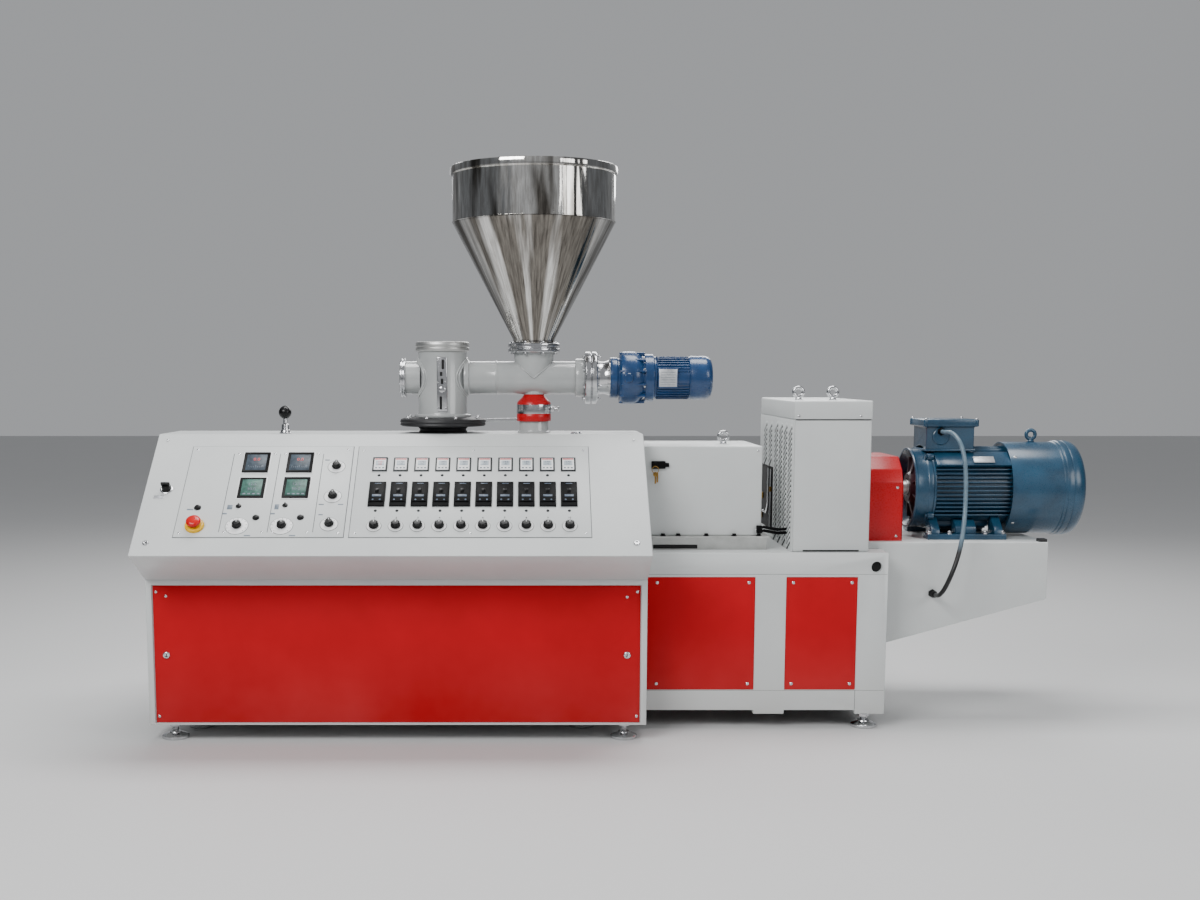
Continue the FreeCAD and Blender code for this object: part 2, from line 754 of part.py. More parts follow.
keep(group("eyes", eye("motor_eye", "motor_eye_place", "motor_axis", "motor_height + motor_smooth_radius"),
           eye("gear_eye", "gear_eye_place", "gear_eye_depth", "gear_cover_top"),
           eye("drive_eye_a", "drive_eye_left", "drive_eye_depth", "drive_top"),
           eye("drive_eye_b", "drive_eye_right", "drive_eye_depth", "drive_top")), "lifting_eyes")

# Conduit: straight runs joined by tangent arcs.
gland_low = rod("gland_low", "-y", "gland_place", "bracket_front", "gland_height", "gland_radius",
                "gland_length")
gland_high = rod("gland_high", "-y", "terminal_gland_place", "terminal_front", "terminal_gland_height",
                 "gland_radius", "gland_length")
keep(group("glands", gland_low, gland_high), "conduit_glands")

start = FreeCAD.Vector(size("terminal_gland_place"), size("terminal_front") - size("gland_length"),
                       size("terminal_gland_height"))
finish = FreeCAD.Vector(size("gland_place"), size("bracket_front") - size("gland_length"),
                        size("gland_height"))
ROUTE = [
    start,
    start + FreeCAD.Vector(0, -50, 0),
    start + FreeCAD.Vector(11, -106, 2),
    start + FreeCAD.Vector(27, -160, -26),
    start + FreeCAD.Vector(40, -198, -82),
    start + FreeCAD.Vector(46, -220, -160),
    start + FreeCAD.Vector(45, -234, -246),
    start + FreeCAD.Vector(39, -254, -334),
    start + FreeCAD.Vector(26, -282, -418),
    finish + FreeCAD.Vector(79, -110, 226),
    finish + FreeCAD.Vector(53, -136, 156),
    finish + FreeCAD.Vector(27, -144, 92),
    finish + FreeCAD.Vector(9, -124, 38),
    finish + FreeCAD.Vector(1, -80, 6),
    finish + FreeCAD.Vector(0, -34, 0),
    finish,
]


RUN_SHARE = 0.45


def rounded_path(points):
    """Straight runs joined by tangent arcs, each using a share of its shorter run at either side."""
    edges = []
    here = points[0]
    for before, corner, after in zip(points, points[1:], points[2:]):
        back = before - corner
        ahead = after - corner
        reach = RUN_SHARE * min(back.Length, ahead.Length)
        back.normalize()
        ahead.normalize()
        half_turn = (math.pi - back.getAngle(ahead)) / 2
        radius = reach / math.tan(half_turn)
        enter = corner + back * reach
        leave = corner + ahead * reach
        inward = back + ahead
        inward.normalize()
        middle = corner + inward * (radius / math.cos(half_turn) - radius)
        edges.append(Part.LineSegment(here, enter).toShape())
        edges.append(Part.Arc(enter, middle, leave).toShape())
        here = leave
    edges.append(Part.LineSegment(here, points[-1]).toShape())
    return Part.Wire(edges)


path = rounded_path(ROUTE)
section = Part.Wire([Part.makeCircle(size("conduit_diameter") / 2, ROUTE[0], ROUTE[1] - ROUTE[0])])
conduit = doc.addObject("Part::Feature", "conduit")
conduit.Shape = path.makePipeShell([section], True, True)
keep(conduit, "motor_conduit")

# Feed column, feeder and hopper.
column_pipe = rod("column_pipe", "z", "column_place", "feed_axis", "seal_top", "column_radius",
                  "column_top - seal_top")
column_ring = rod("column_ring", "z", "column_place", "feed_axis", "column_top - column_ring_height",
                  "column_ring_radius", "column_ring_height")
column_foot = rod("column_foot", "z", "column_place", "feed_axis", "seal_top", "column_foot_radius",
                  "column_foot_height")
keep(fuse("column", column_pipe, column_ring, column_foot), "feed_column")
seal_disc = rod("seal_disc", "z", "column_place", "feed_axis", "seal_top - seal_thickness", "seal_radius",
                "seal_thickness")
seal_neck = rod("seal_neck", "z", "column_place", "feed_axis", DESK_TOP, "seal_neck_radius",
                f"seal_top - seal_thickness / 2 - ({DESK_TOP})")
keep(fuse("seal", seal_disc, seal_neck), "feed_column_seal")


def feed_rod(name, left, length, radius):
    return rod(name, "x", left, "feed_axis", "feed_height", radius, length)


tube = feed_rod("tube", "tube_left + end_ring_width", "tube_right - tube_left - end_ring_width",
                "tube_radius")
tee = rod("tee", "z", "hopper_place", "feed_axis", "feed_height", "tee_radius",
          "tee_flange_base - feed_height")
tee_low = rod("tee_low", "z", "hopper_place", "feed_axis", "clamp_base + clamp_height + clamp_dome",
              "clamp_top_radius", "feed_height - (clamp_base + clamp_height + clamp_dome)")
tee_bore = rod("tee_bore", "z", "hopper_place", "feed_axis", "feed_height - tube_radius / 2",
               "tube_radius - hopper_wall", "tee_flange_base - feed_height + tube_radius")
column_hole = rod("column_hole", "z", "column_place", "feed_axis", "seal_top", "column_radius + seat_gap",
                  "column_top - seal_top")
keep(cut("feeder", fuse("feeder_solid", tube, tee, tee_low), tee_bore, column_hole), "feeder_tube")

end_ring = feed_rod("end_ring", "tube_left", "end_ring_width", "end_ring_radius")
tube_collar = feed_rod("tube_collar", "tube_right", "collar_width", "collar_radius")
flange_a = feed_rod("flange_a", "tube_right + collar_width", "2 * flange_width", "flange_radius")
NECK_LEFT = "tube_right + collar_width + 2 * flange_width"
neck = feed_rod("neck", NECK_LEFT, "neck_width", "neck_radius")
keep(group("flanges", end_ring, fuse("tube_flange", tube_collar, flange_a, neck)), "feeder_flanges")
GEAR = f"{NECK_LEFT} + neck_width"
keep(fuse("feed_gear", feed_rod("gear_ring", GEAR, "gear_ring_width", "gear_ring_radius"),
          feed_rod("gear_bulge", f"{GEAR} + gear_ring_width", "gear_width", "gear_radius"),
          feed_rod("gear_flange", f"{GEAR} + gear_ring_width + gear_width", "gear_flange_width",
                   "gear_flange_radius")), "feeder_gearbox")
FEED_MOTOR = f"{GEAR} + gear_ring_width + gear_width + gear_flange_width"
feed_body = feed_rod("feed_body", FEED_MOTOR, "feed_motor_width", "feed_motor_radius")
feed_cap = feed_rod("feed_cap", f"{FEED_MOTOR} + feed_motor_width", "feed_cap_width", "feed_cap_radius")
doc.recompute()
keep(fuse("feed_motor", feed_body, round_far_rim("feed_cap_end", feed_cap, "feed_cap_round")),
     "feeder_motor")

keep(rod("post", "z", "hopper_place", "feed_axis", DESK_TOP, "post_radius",
         f"clamp_base + clamp_height - ({DESK_TOP})"), "feeder_support_post")
clamp_ring = rod("clamp_ring", "z", "hopper_place", "feed_axis", "clamp_base", "clamp_radius",
                 "clamp_height")
clamp_top = cone("clamp_top", "z", "hopper_place", "feed_axis", "clamp_base + clamp_height",
                 "clamp_radius", "clamp_top_radius", "clamp_dome")
clamp_hole = rod("clamp_hole", "z", "hopper_place", "feed_axis", "clamp_base - overshoot",
                 "post_radius + clamp_bore_gap", "clamp_height + overshoot")
keep(cut("clamp", fuse("clamp_solid", clamp_ring, clamp_top), clamp_hole), "post_clamp")
band_outer = rod("band_outer", "z", "hopper_place", "feed_axis", "band_base",
                 "clamp_radius + band_thickness", "band_height")
band_inner = rod("band_inner", "z", "hopper_place", "feed_axis", "band_base - overshoot", "clamp_radius",
                 "band_height + 2 * overshoot")
keep(cut("band", band_outer, band_inner), "clamp_band")

flange_disc = rod("hopper_flange_disc", "z", "hopper_place", "feed_axis", "tee_flange_base",
                  "hopper_flange_radius", "hopper_flange_thickness")
flange_hole = rod("hopper_flange_hole", "z", "hopper_place", "feed_axis", "tee_flange_base - overshoot",
                  "tube_radius - hopper_wall", "hopper_flange_thickness + 2 * overshoot")
keep(cut("hopper_flange", flange_disc, flange_hole), "hopper_flange")

WALL = "hopper_wall"
NECK_TOP = "hopper_neck"
SHOULDER = "hopper_shoulder - hopper_low"
HIGH = "hopper_top - hopper_low"
keep(revolve("hopper", [
    ("throat_radius", 0), ("throat_radius", NECK_TOP), ("hopper_radius", SHOULDER),
    ("hopper_radius", HIGH), ("rim_radius", HIGH), ("rim_radius", f"{HIGH} + rim_height"),
    (f"hopper_radius - {WALL}", f"{HIGH} + rim_height"), (f"hopper_radius - {WALL}", SHOULDER),
    (f"throat_radius - {WALL}", NECK_TOP), (f"throat_radius - {WALL}", 0)],
    "hopper_place", "feed_axis", "hopper_low"), "hopper")

doc.recompute()
faults = [piece.Name for piece in doc.Objects if {"Invalid", "Error"} & set(piece.State)]
faults += [piece.Label for piece in nodes if piece.Shape.isNull() or not piece.Shape.isValid()]
if faults:
    raise RuntimeError(f"these objects failed: {faults}")
os.makedirs("parts", exist_ok=True)
for piece in nodes:
    piece.Shape.exportStep(f"parts/{piece.Label}.step")
print(len(nodes), "sub-parts written")
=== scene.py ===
import math

import bpy
from mathutils import Matrix, Vector


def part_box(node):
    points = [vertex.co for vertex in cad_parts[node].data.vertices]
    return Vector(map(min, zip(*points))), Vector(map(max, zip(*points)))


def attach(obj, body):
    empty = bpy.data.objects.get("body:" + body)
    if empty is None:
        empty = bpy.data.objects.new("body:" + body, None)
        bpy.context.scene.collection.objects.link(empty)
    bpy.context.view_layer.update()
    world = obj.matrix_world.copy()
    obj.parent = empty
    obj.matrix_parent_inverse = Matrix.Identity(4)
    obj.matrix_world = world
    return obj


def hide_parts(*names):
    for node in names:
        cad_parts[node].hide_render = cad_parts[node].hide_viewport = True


bl_info = {
    "name": "Plastic extruder",
    "version": (1, 0, 0),
    "blender": (4, 5, 0),
    "location": "3D View > Sidebar > Extruder",
    "description": "Builds the finished look of a twin-screw plastic extruder round its packed frame",
    "category": "Add Mesh",
}

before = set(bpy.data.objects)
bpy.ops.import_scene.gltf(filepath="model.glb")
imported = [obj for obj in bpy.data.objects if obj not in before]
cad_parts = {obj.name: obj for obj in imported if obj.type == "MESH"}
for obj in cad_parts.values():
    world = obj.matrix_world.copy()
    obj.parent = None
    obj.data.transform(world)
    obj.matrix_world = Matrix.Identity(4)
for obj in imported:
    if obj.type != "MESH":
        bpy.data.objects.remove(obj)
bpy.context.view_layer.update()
MM = 0.001


def middle(node, *axes):
    """The middle of a CAD node's box along some axes, in millimetres."""
    low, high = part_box(node)
    return [round((low[axis] + high[axis]) / 2 / MM, 1) for axis in axes]


# All sizes are in millimetres.  An axis is given by the two coordinates that it doesn't run along.
STILL = "machine"
MOTOR_AXIS = middle("motor_fan_cowl", 1, 2)
FEED_AXIS = middle("feeder_gearbox", 1, 2)
HOPPER_AXIS = middle("hopper_flange", 0, 1)
COLUMN_AXIS = middle("feed_column_seal", 0, 1)
DECK = 1306
# The desk has its own coordinates: along it, up its slope, and out of it, from the left end of its
# front edge.
DESK_LEFT, DESK_FRONT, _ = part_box("console_desk")[0]
DESK_EDGE = 836
DESK_TILT = 40
DESK = (Matrix.Translation((DESK_LEFT, DESK_FRONT, DESK_EDGE * MM))
        @ Matrix.Rotation(math.radians(DESK_TILT), 4, "X"))
PLATE = 3
ZONES = [986 + 90 * zone for zone in range(10)]
KNOB_ROW = 166
DIRECTIONS = {"X": Vector((1, 0, 0)), "Y": Vector((0, 1, 0)), "Z": Vector((0, 0, 1))}
FACING = {"-Y": Matrix.Rotation(math.pi / 2, 4, "X"), "+Y": Matrix.Rotation(-math.pi / 2, 4, "X"),
          "-X": Matrix.Rotation(-math.pi / 2, 4, "Y"), "+X": Matrix.Rotation(math.pi / 2, 4, "Y")}
# The record's slot that each finish stands for, where a piece names no other.
SLOTS = {
    "powder_grey": "grey_paint", "pipe_grey": "grey_paint", "powder_red": "red_paint",
    "gloss_red": "red_paint", "motor_blue": "motor_paint", "feeder_blue": "feeder_paint",
    "machined_steel": "machined_steel", "bright_steel": "bright_steel", "polished_sheet": "hopper_steel",
    "rubber_black": "black_rubber", "plastic_black": "black_plastic", "plastic_knob": "knob_plastic",
    "collar_yellow": "stop_yellow", "mushroom_red": "stop_red"}


# Modelling by hand.

def clear():
    """Back to object mode with nothing selected."""
    if bpy.context.mode != "OBJECT":
        bpy.ops.object.mode_set(mode="OBJECT")
    bpy.ops.object.select_all(action="DESELECT")


def choose(piece):
    """Selects one piece alone and makes it active."""
    clear()
    piece.select_set(True)
    bpy.context.view_layer.objects.active = piece
    return piece


def shift(move):
    """A move in millimetres as a matrix."""
    return Matrix.Translation(Vector(move) * MM)


def seat(piece, matrix=DESK):
    """Puts a piece made in the desk's coordinates, or in others, where it belongs, in its mesh."""
    piece.matrix_world = matrix @ piece.matrix_world
    choose(piece)
    bpy.ops.object.transform_apply(location=True, rotation=True, scale=True)
    return piece


def soft_edges(piece, width, segments=2, angle=30):
    """Rounds the sharp edges and shades the rest smooth."""
    choose(piece)
    if width:
        bevel = piece.modifiers.new("Edges", "BEVEL")
        bevel.width = width * MM
        bevel.segments = segments
        bevel.limit_method = "ANGLE"
        bevel.angle_limit = math.radians(angle)
        bevel.use_clamp_overlap = True
        bpy.ops.object.modifier_apply(modifier=bevel.name)
    bpy.ops.object.shade_smooth_by_angle(angle=math.radians(angle + 8))
    return piece


def block(low, high, edge=1.0, segments=2):
    """A block between two corners with rounded edges."""
    low, high = Vector(low) * MM, Vector(high) * MM
    clear()
    bpy.ops.mesh.primitive_cube_add(size=1, location=(low + high) / 2, scale=high - low)
    return soft_edges(seat(bpy.context.object, Matrix.Identity(4)), edge, segments)


def blocks(corners, edge):
    """Several blocks with the same edges."""
    return [block(low, high, edge) for low, high in corners]


def tile(low, high, levels, edge=0.2, segments=2):
    """A block on the desk between two corners, from one height above the control plates to another."""
    return seat(block((*low, PLATE + levels[0]), (*high, PLATE + levels[1]), edge, segments))


def framed_tile(low, high, height, rim, depth, edge):
    """A tile whose top is inset to a rim and pushed down."""
    piece = block((*low, PLATE), (*high, PLATE + height), 0)
    for face in piece.data.polygons:
        face.select = face.normal.z > 0.9
    choose(piece)
    bpy.ops.object.mode_set(mode="EDIT")
    bpy.ops.mesh.select_mode(type="FACE")
    bpy.ops.mesh.inset(thickness=rim * MM)
    bpy.ops.transform.translate(value=(0, 0, -depth * MM))
    clear()
    return seat(soft_edges(piece, edge))


def trace(points):
    """Extrudes one vertex along a line of points and stays in edit mode."""
    points = [Vector(point) * MM for point in points]
    clear()
    bpy.ops.mesh.primitive_plane_add(size=MM)
    piece = bpy.context.object
    bpy.ops.object.mode_set(mode="EDIT")
    bpy.ops.mesh.select_mode(type="VERT")
    bpy.ops.mesh.select_all(action="SELECT")
    bpy.ops.mesh.merge(type="CENTER")
    bpy.ops.transform.translate(value=points[0])
    for before, after in zip(points, points[1:]):
        bpy.ops.mesh.extrude_region_move(TRANSFORM_OT_translate={"value": after - before})
    bpy.ops.mesh.select_all(action="SELECT")
    return piece


def turned(axis, base, profile, edge=0.0, steps=48, angle=30):
    """A turned shape: its profile gives how far along the axis and how far out."""
    along = DIRECTIONS[axis]
    out = DIRECTIONS["Z"] if axis != "Z" else DIRECTIONS["X"]
    base = Vector(base)
    piece = trace([base + along * place + out * radius for place, radius in profile])
    bpy.ops.mesh.spin(steps=steps, angle=math.tau, center=base * MM, axis=along)
    bpy.ops.mesh.select_all(action="SELECT")
    bpy.ops.mesh.remove_doubles(threshold=MM / 100)
    bpy.ops.mesh.normals_make_consistent(inside=False)
    clear()
    return soft_edges(piece, edge, 2, angle)


def rod(axis, base, radius, length, edge=0.0, steps=24):
    """A plain round bar from its base along an axis."""
    return turned(axis, base, [(0, 0), (0, radius), (length, radius), (length, 0)], edge, steps)


def stud(centre, profile, edge=0.0, steps=40, angle=30, level=PLATE):
    """A turned shape that stands on the desk."""
    return seat(turned("Z", (*centre, level), profile, edge, steps, angle))


def sheet_of(points, depth, edge=1.0, segments=2):
    """A flat outline filled and given a depth."""
    piece = trace(points)
    bpy.ops.mesh.edge_face_add()
    bpy.ops.mesh.extrude_region_move(TRANSFORM_OT_translate={"value": Vector(depth) * MM})
    bpy.ops.mesh.select_all(action="SELECT")
    bpy.ops.mesh.normals_make_consistent(inside=False)
    clear()
    return soft_edges(piece, edge, segments)


def curve_through(name, kind, points, radius, resolution):
    """A round curve with flat ends, whose spline has the points given."""
    curve = bpy.data.curves.new(name, "CURVE")
    curve.dimensions = "3D"
    curve.bevel_depth = radius * MM
    curve.bevel_resolution = resolution
    curve.use_fill_caps = True
    spline = curve.splines.new(kind)
    spline.points.add(len(points) - 1)
    for spot, point in zip(spline.points, points):
        spot.co = (*(Vector(point) * MM), 1)
    piece = bpy.data.objects.new(name, curve)
    bpy.context.scene.collection.objects.link(piece)
    return piece, spline


def bar_along(points, radius, closed=False):
    """A round bar or weld bead that follows a line of points."""
    piece, spline = curve_through("bar", "POLY", points, radius, 4)
    spline.use_cyclic_u = closed
    choose(piece)
    bpy.ops.object.convert(target="MESH")
    bpy.ops.object.shade_smooth()
    return bpy.context.object


def hexagon(axis, centre, across, height, edge=0.8):
    """A hexagonal nut or bolt head, chamfered, standing along an axis."""
    clear()
    bpy.ops.mesh.primitive_cylinder_add(vertices=6, radius=across * MM / math.sqrt(3), depth=height * MM)
    turn = {"X": FACING["+X"], "Y": FACING["-Y"], "Z": Matrix.Identity(4)}[axis]
    piece = seat(bpy.context.object, shift(Vector(centre) + DIRECTIONS[axis] * height / 2) @ turn)
    return soft_edges(piece, edge)


def copies(piece, places):
    """Copies of a shape, each with its own mesh, at places given as moves or matrices."""
    made = []
    for place in places:
        twin = bpy.data.objects.new(piece.name, piece.data.copy())
        bpy.context.scene.collection.objects.link(twin)
        twin.data.transform(place if isinstance(place, Matrix) else shift(place))
        made.append(twin)
    bpy.data.objects.remove(piece)
    return made


def around(count, radius, centre=(0, 0), phase=0.5):
    """Points evenly round a centre, the first turned by a share of a step."""
    angles = [math.tau * (step + phase) / count for step in range(count)]
    return [(centre[0] + radius * math.cos(angle), centre[1] + radius * math.sin(angle)) for angle in angles]


def circled(piece, axis, centre, count, phase=0.5, gaps=()):
    """Copies of a piece turned round an axis through a centre, apart from the steps left as gaps."""
    turns = [Matrix.Rotation(math.tau * (step + phase) / count, 4, axis)
             for step in range(count) if step not in gaps]
    return copies(piece, [shift(centre) @ turn @ shift(-Vector(centre)) for turn in turns])


def screw_head(radius, height):
    """A pan head with a socket, standing on the XY plane."""
    profile = [(0, 0), (0, 1), (0.55, 1), (0.9, 0.72), (1, 0.5), (1, 0.36), (0.5, 0.33), (0.5, 0)]
    return turned("Z", (0, 0, 0), [(up * height, out * radius) for up, out in profile], steps=16, angle=40)


def screws(facing, places, radius=6, height=3.5):
    """Screw heads on a face, at their places."""
    return copies(screw_head(radius, height), [shift(spot) @ FACING[facing] for spot in places])


def lettering(text, size, centre, matrix=DESK):
    """Raised figures, made a mesh before they are seated."""
    clear()
    bpy.ops.object.text_add()
    words = bpy.context.object.data
    words.body = text
    words.size = size * MM
    words.align_x = "CENTER"
    words.align_y = "CENTER"
    words.extrude = 0.4 * MM
    words.resolution_u = 3
    bpy.ops.object.convert(target="MESH")
    return seat(bpy.context.object, matrix @ shift(centre))


def painted(pieces, finish):
    """Gives one finish to one piece or several, and returns them as a list."""
    pieces = pieces if isinstance(pieces, list) else [pieces]
    for piece in pieces:
        piece.data.materials.clear()
        piece.data.materials.append(material(finish))
    return pieces


def put(name, parts, stands_for=None, slot=None, body=STILL):
    """Joins a piece's parts, given by their finish, and makes it ride on its body."""
    shapes = [shape for finish, group in parts.items() for shape in painted(group, finish)]
    clear()
    for shape in shapes:
        shape.select_set(True)
    piece = shapes[0]
    bpy.context.view_layer.objects.active = piece
    if len(shapes) > 1:
        bpy.ops.object.join()
    piece.name = name
    piece.data.name = name
    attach(piece, body)
    slot = slot or SLOTS.get(next(iter(parts)))
    if stands_for:
        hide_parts(stands_for)
    return piece


def recoat(name, node, finish, width, segments=2, angle=30):
    """A CAD node's own shape, merged and cleaned, with rounded edges and its finish."""
    piece = bpy.data.objects.new(node + "_body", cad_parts[node].data.copy())
    bpy.context.scene.collection.objects.link(piece)
    choose(piece)
    bpy.ops.object.mode_set(mode="EDIT")
    bpy.ops.mesh.select_all(action="SELECT")
    bpy.ops.mesh.customdata_custom_splitnormals_clear()
    bpy.ops.mesh.remove_doubles(threshold=MM / 100)
    bpy.ops.mesh.dissolve_limited(angle_limit=math.radians(0.4))
    clear()
    put(name, {finish: soft_edges(piece, width, segments, angle)}, node)


# Finishes.

def empty_tree(owner):
    """The node tree of a material or a world, with nothing in it."""
    owner.use_nodes = True
    owner.node_tree.nodes.clear()
    return owner.node_tree


def linear(code):
    """An sRGB hex colour as linear light."""
    parts = [int(code[index:index + 2], 16) / 255 for index in (1, 3, 5)]
    return tuple(c / 12.92 if c <= 0.04045 else ((c + 0.055) / 1.055) ** 2.4 for c in parts) + (1.0,)


def add(tree, kind, settings=None, **sockets):
    """Adds a node with its settings, and sets or links its inputs; at0 names an input by number."""
    node = tree.nodes.new(kind)
    for name, value in (settings or {}).items():
        setattr(node, name, value)
    for name, value in sockets.items():
        numbered = name.startswith("at") and name[2:].isdigit()
        socket = node.inputs[int(name[2:]) if numbered else name.replace("_", " ")]
        if isinstance(value, bpy.types.NodeSocket):
            tree.links.new(value, socket)
        else:
            socket.default_value = value
    return node


MADE = {}


def material(name):
    """The finish of that name, made once."""
    if name not in MADE:
        MADE[name] = FINISHES[name](name)
    return MADE[name]


def surface(name, tones, patch, grain, depth, rough, dust=0.0, stretch=(1, 1, 1), **shader):
    """A finish that drifts between two tones over patches, with a grain that lifts and dulls it.

    Patch, grain and depth are real sizes in millimetres; rough is the lowest and highest roughness."""
    made = bpy.data.materials.new(name)
    tree = empty_tree(made)
    where = add(tree, "ShaderNodeTexCoord").outputs["Object"]
    drift = add(tree, "ShaderNodeTexNoise", Vector=where, Scale=1 / (patch * MM), Detail=4.0,
                Roughness=0.6).outputs["Fac"]
    spread = add(tree, "ShaderNodeMapRange", Value=drift, From_Min=0.32, From_Max=0.68).outputs[0]
    colour = add(tree, "ShaderNodeMix", {"data_type": "RGBA"}, at0=spread, at6=linear(tones[0]),
                 at7=linear(tones[1])).outputs[2]
    drawn = add(tree, "ShaderNodeMapping", Vector=where, Scale=stretch).outputs[0]
    fine = add(tree, "ShaderNodeTexNoise", Vector=drawn, Scale=1 / (grain * MM), Detail=3.0,
               Roughness=0.55).outputs["Fac"]
    if dust:
        height = add(tree, "ShaderNodeSeparateXYZ", Vector=where).outputs["Z"]
        low = add(tree, "ShaderNodeMapRange", Value=height, From_Min=0.0, From_Max=0.45, To_Min=dust,
                  To_Max=0.0).outputs[0]
        settled = add(tree, "ShaderNodeMath", {"operation": "MULTIPLY"}, at0=low, at1=spread).outputs[0]
        colour = add(tree, "ShaderNodeMix", {"data_type": "RGBA"}, at0=settled, at6=colour,
                     at7=linear("#8c857a")).outputs[2]
    gloss = add(tree, "ShaderNodeMapRange", Value=fine, From_Min=0.3, From_Max=0.7, To_Min=rough[0],
                To_Max=rough[1]).outputs[0]
    relief = add(tree, "ShaderNodeBump", Height=fine, Strength=0.6, Distance=depth * MM).outputs[0]
    skin = add(tree, "ShaderNodeBsdfPrincipled", Base_Color=colour, Roughness=gloss, Normal=relief,
               **shader)
    add(tree, "ShaderNodeOutputMaterial", Surface=skin.outputs[0])
    return made


def powder_grey(name):
    # Polyester powder coat on steel sheet: an even light grey with a fine orange peel that softens
    # highlights.
    return surface(name, ("#c6c9c9", "#cdd0cf"), 420, 2.4, 0.06, (0.36, 0.5), dust=0.25,
                   Coat_Weight=0.12, Coat_Roughness=0.3)


def pipe_grey(name):
    # Brushed-on gloss enamel on cast pipe: brighter, wetter highlights than powder coat.
    return surface(name, ("#a3a6a6", "#afb1b0"), 160, 9, 0.05, (0.14, 0.24), Coat_Weight=0.6,
                   Coat_Roughness=0.08)


def powder_red(name):
    # Signal red powder coat on sheet doors: saturated, with the same orange peel as the grey.
    return surface(name, ("#ac0010", "#bd0016"), 620, 2.4, 0.03, (0.5, 0.62), dust=0.12,
                   Specular_IOR_Level=0.18)


def gloss_red(name):
    # Gloss red enamel on guards and castings: a sharper highlight along each bend.
    return surface(name, ("#ae000e", "#bf0012"), 260, 5, 0.015, (0.24, 0.34), Specular_IOR_Level=0.4)


def motor_blue(name):
    # Steel-blue enamel over cast iron: sand texture of the casting shows through the paint.
    return surface(name, ("#15364c", "#204a64"), 130, 3.0, 0.22, (0.22, 0.38), Coat_Weight=0.3,
                   Coat_Roughness=0.18)


def feeder_blue(name):
    # Blue enamel over die-cast aluminium: smoother and more saturated than the big motor.
    return surface(name, ("#0c3058", "#14406e"), 80, 2.5, 0.1, (0.22, 0.36), Coat_Weight=0.35,
                   Coat_Roughness=0.15)


def machined_steel(name):
    # Ground tool steel: fine marks along the machine and a satin shine.
    return surface(name, ("#bdbdbb", "#cfcfcd"), 60, 1.2, 0.04, (0.36, 0.5), stretch=(0.04, 1, 1),
                   Metallic=1.0)


def bright_steel(name):
    # Zinc and chrome plate: clean bright metal with faint clouding.
    return surface(name, ("#c2c3c5", "#d6d6d8"), 14, 3, 0.01, (0.1, 0.24), Metallic=1.0)


def aluminium_plate(name):
    # Etched aluminium rating plate: pale satin metal with a fine sideways brush.
    return surface(name, ("#b9bcc0", "#cfd1d4"), 24, 1.0, 0.02, (0.3, 0.5), stretch=(0.05, 1, 1),
                   Metallic=0.7)


def rubber_black(name):
    # Moulded rubber: deep grey-black, dull, with a slightly pitted skin.
    return surface(name, ("#121214", "#1d1d20"), 40, 1.6, 0.12, (0.42, 0.62))


def plastic_black(name):
    # Injection-moulded black thermoplastic: soft satin with a fine spark-eroded texture.
    return surface(name, ("#030304", "#08080a"), 30, 0.9, 0.04, (0.4, 0.54),
                   Specular_IOR_Level=0.12)


def plastic_knob(name):
    # Phenolic knob: near black and a little glossy.
    return surface(name, ("#040405", "#0a0a0c"), 18, 1.2, 0.03, (0.26, 0.38), Specular_IOR_Level=0.3)


def plastic_white(name):
    # Printed white dial plastic: bright, flat and even.
    return surface(name, ("#eceded", "#f5f5f5"), 30, 1.0, 0.02, (0.34, 0.46))


def plastic_frame(name):
    # Charcoal instrument frame: moulded, between black and grey.
    return surface(name, ("#15171a", "#202327"), 20, 1.0, 0.03, (0.4, 0.52), Specular_IOR_Level=0.3)


def dark_gap(name):
    # Painted shade: matt black for the unlit inside of slots, bores, vents, openings and joints.
    return surface(name, ("#050506", "#0b0b0c"), 50, 3, 0.1, (0.7, 0.9))


def seam_shade(name):
    # Painted shadow: a grey line that stands in for the shadow in a sheet joint and round the rings and
    # dials.
    return surface(name, ("#5d6062", "#747778"), 60, 2, 0.05, (0.6, 0.8), Specular_IOR_Level=0.2)


def conduit_plastic(name):
    # Grey-blue flexible conduit that turns to a black sleeve where it drops below the bracket's top edge.
    made = surface(name, ("#4f6675", "#687e8c"), 30, 1.5, 0.05, (0.3, 0.44))
    tree = made.node_tree
    skin = next(node for node in tree.nodes if node.type == "BSDF_PRINCIPLED")
    upper = skin.inputs["Base Color"].links[0].from_socket
    where = next(node for node in tree.nodes if node.type == "TEX_COORD").outputs["Object"]
    height = add(tree, "ShaderNodeSeparateXYZ", Vector=where).outputs["Z"]
    share = add(tree, "ShaderNodeMapRange", Value=height, From_Min=0.79, From_Max=0.84).outputs[0]
    both = add(tree, "ShaderNodeMix", {"data_type": "RGBA"}, at0=share, at6=linear("#08080a"), at7=upper)
    tree.links.new(both.outputs[2], skin.inputs["Base Color"])
    return made


def brass(name):
    # Plain turned brass: warm metal, a little tarnished.
    return surface(name, ("#8a6a34", "#b08c4c"), 12, 2, 0.01, (0.24, 0.4), Metallic=1.0)


def mushroom_red(name):
    # Moulded glossy red of an emergency stop.
    return surface(name, ("#b80000", "#cc0202"), 20, 1.2, 0.02, (0.2, 0.3), Specular_IOR_Level=0.4)


def collar_yellow(name):
    # Moulded safety yellow of the stop's collar.
    return surface(name, ("#e0a800", "#f2c400"), 24, 1.2, 0.02, (0.26, 0.38))


def screen(name, tones, patch):
    """A screen behind gloss glass: cloudy tones that don't glow."""
    return surface(name, tones, patch, 4, 0.005, (0.3, 0.4), Specular_IOR_Level=0.25)


def screen_slate(name):
    # Ammeter window: slate blue card behind glass.
    return screen(name, ("#2b343d", "#48545f"), 26)


def screen_green(name):
    # Liquid crystal window: cloudy grey-green.
    return screen(name, ("#28463f", "#4e7a6e"), 30)


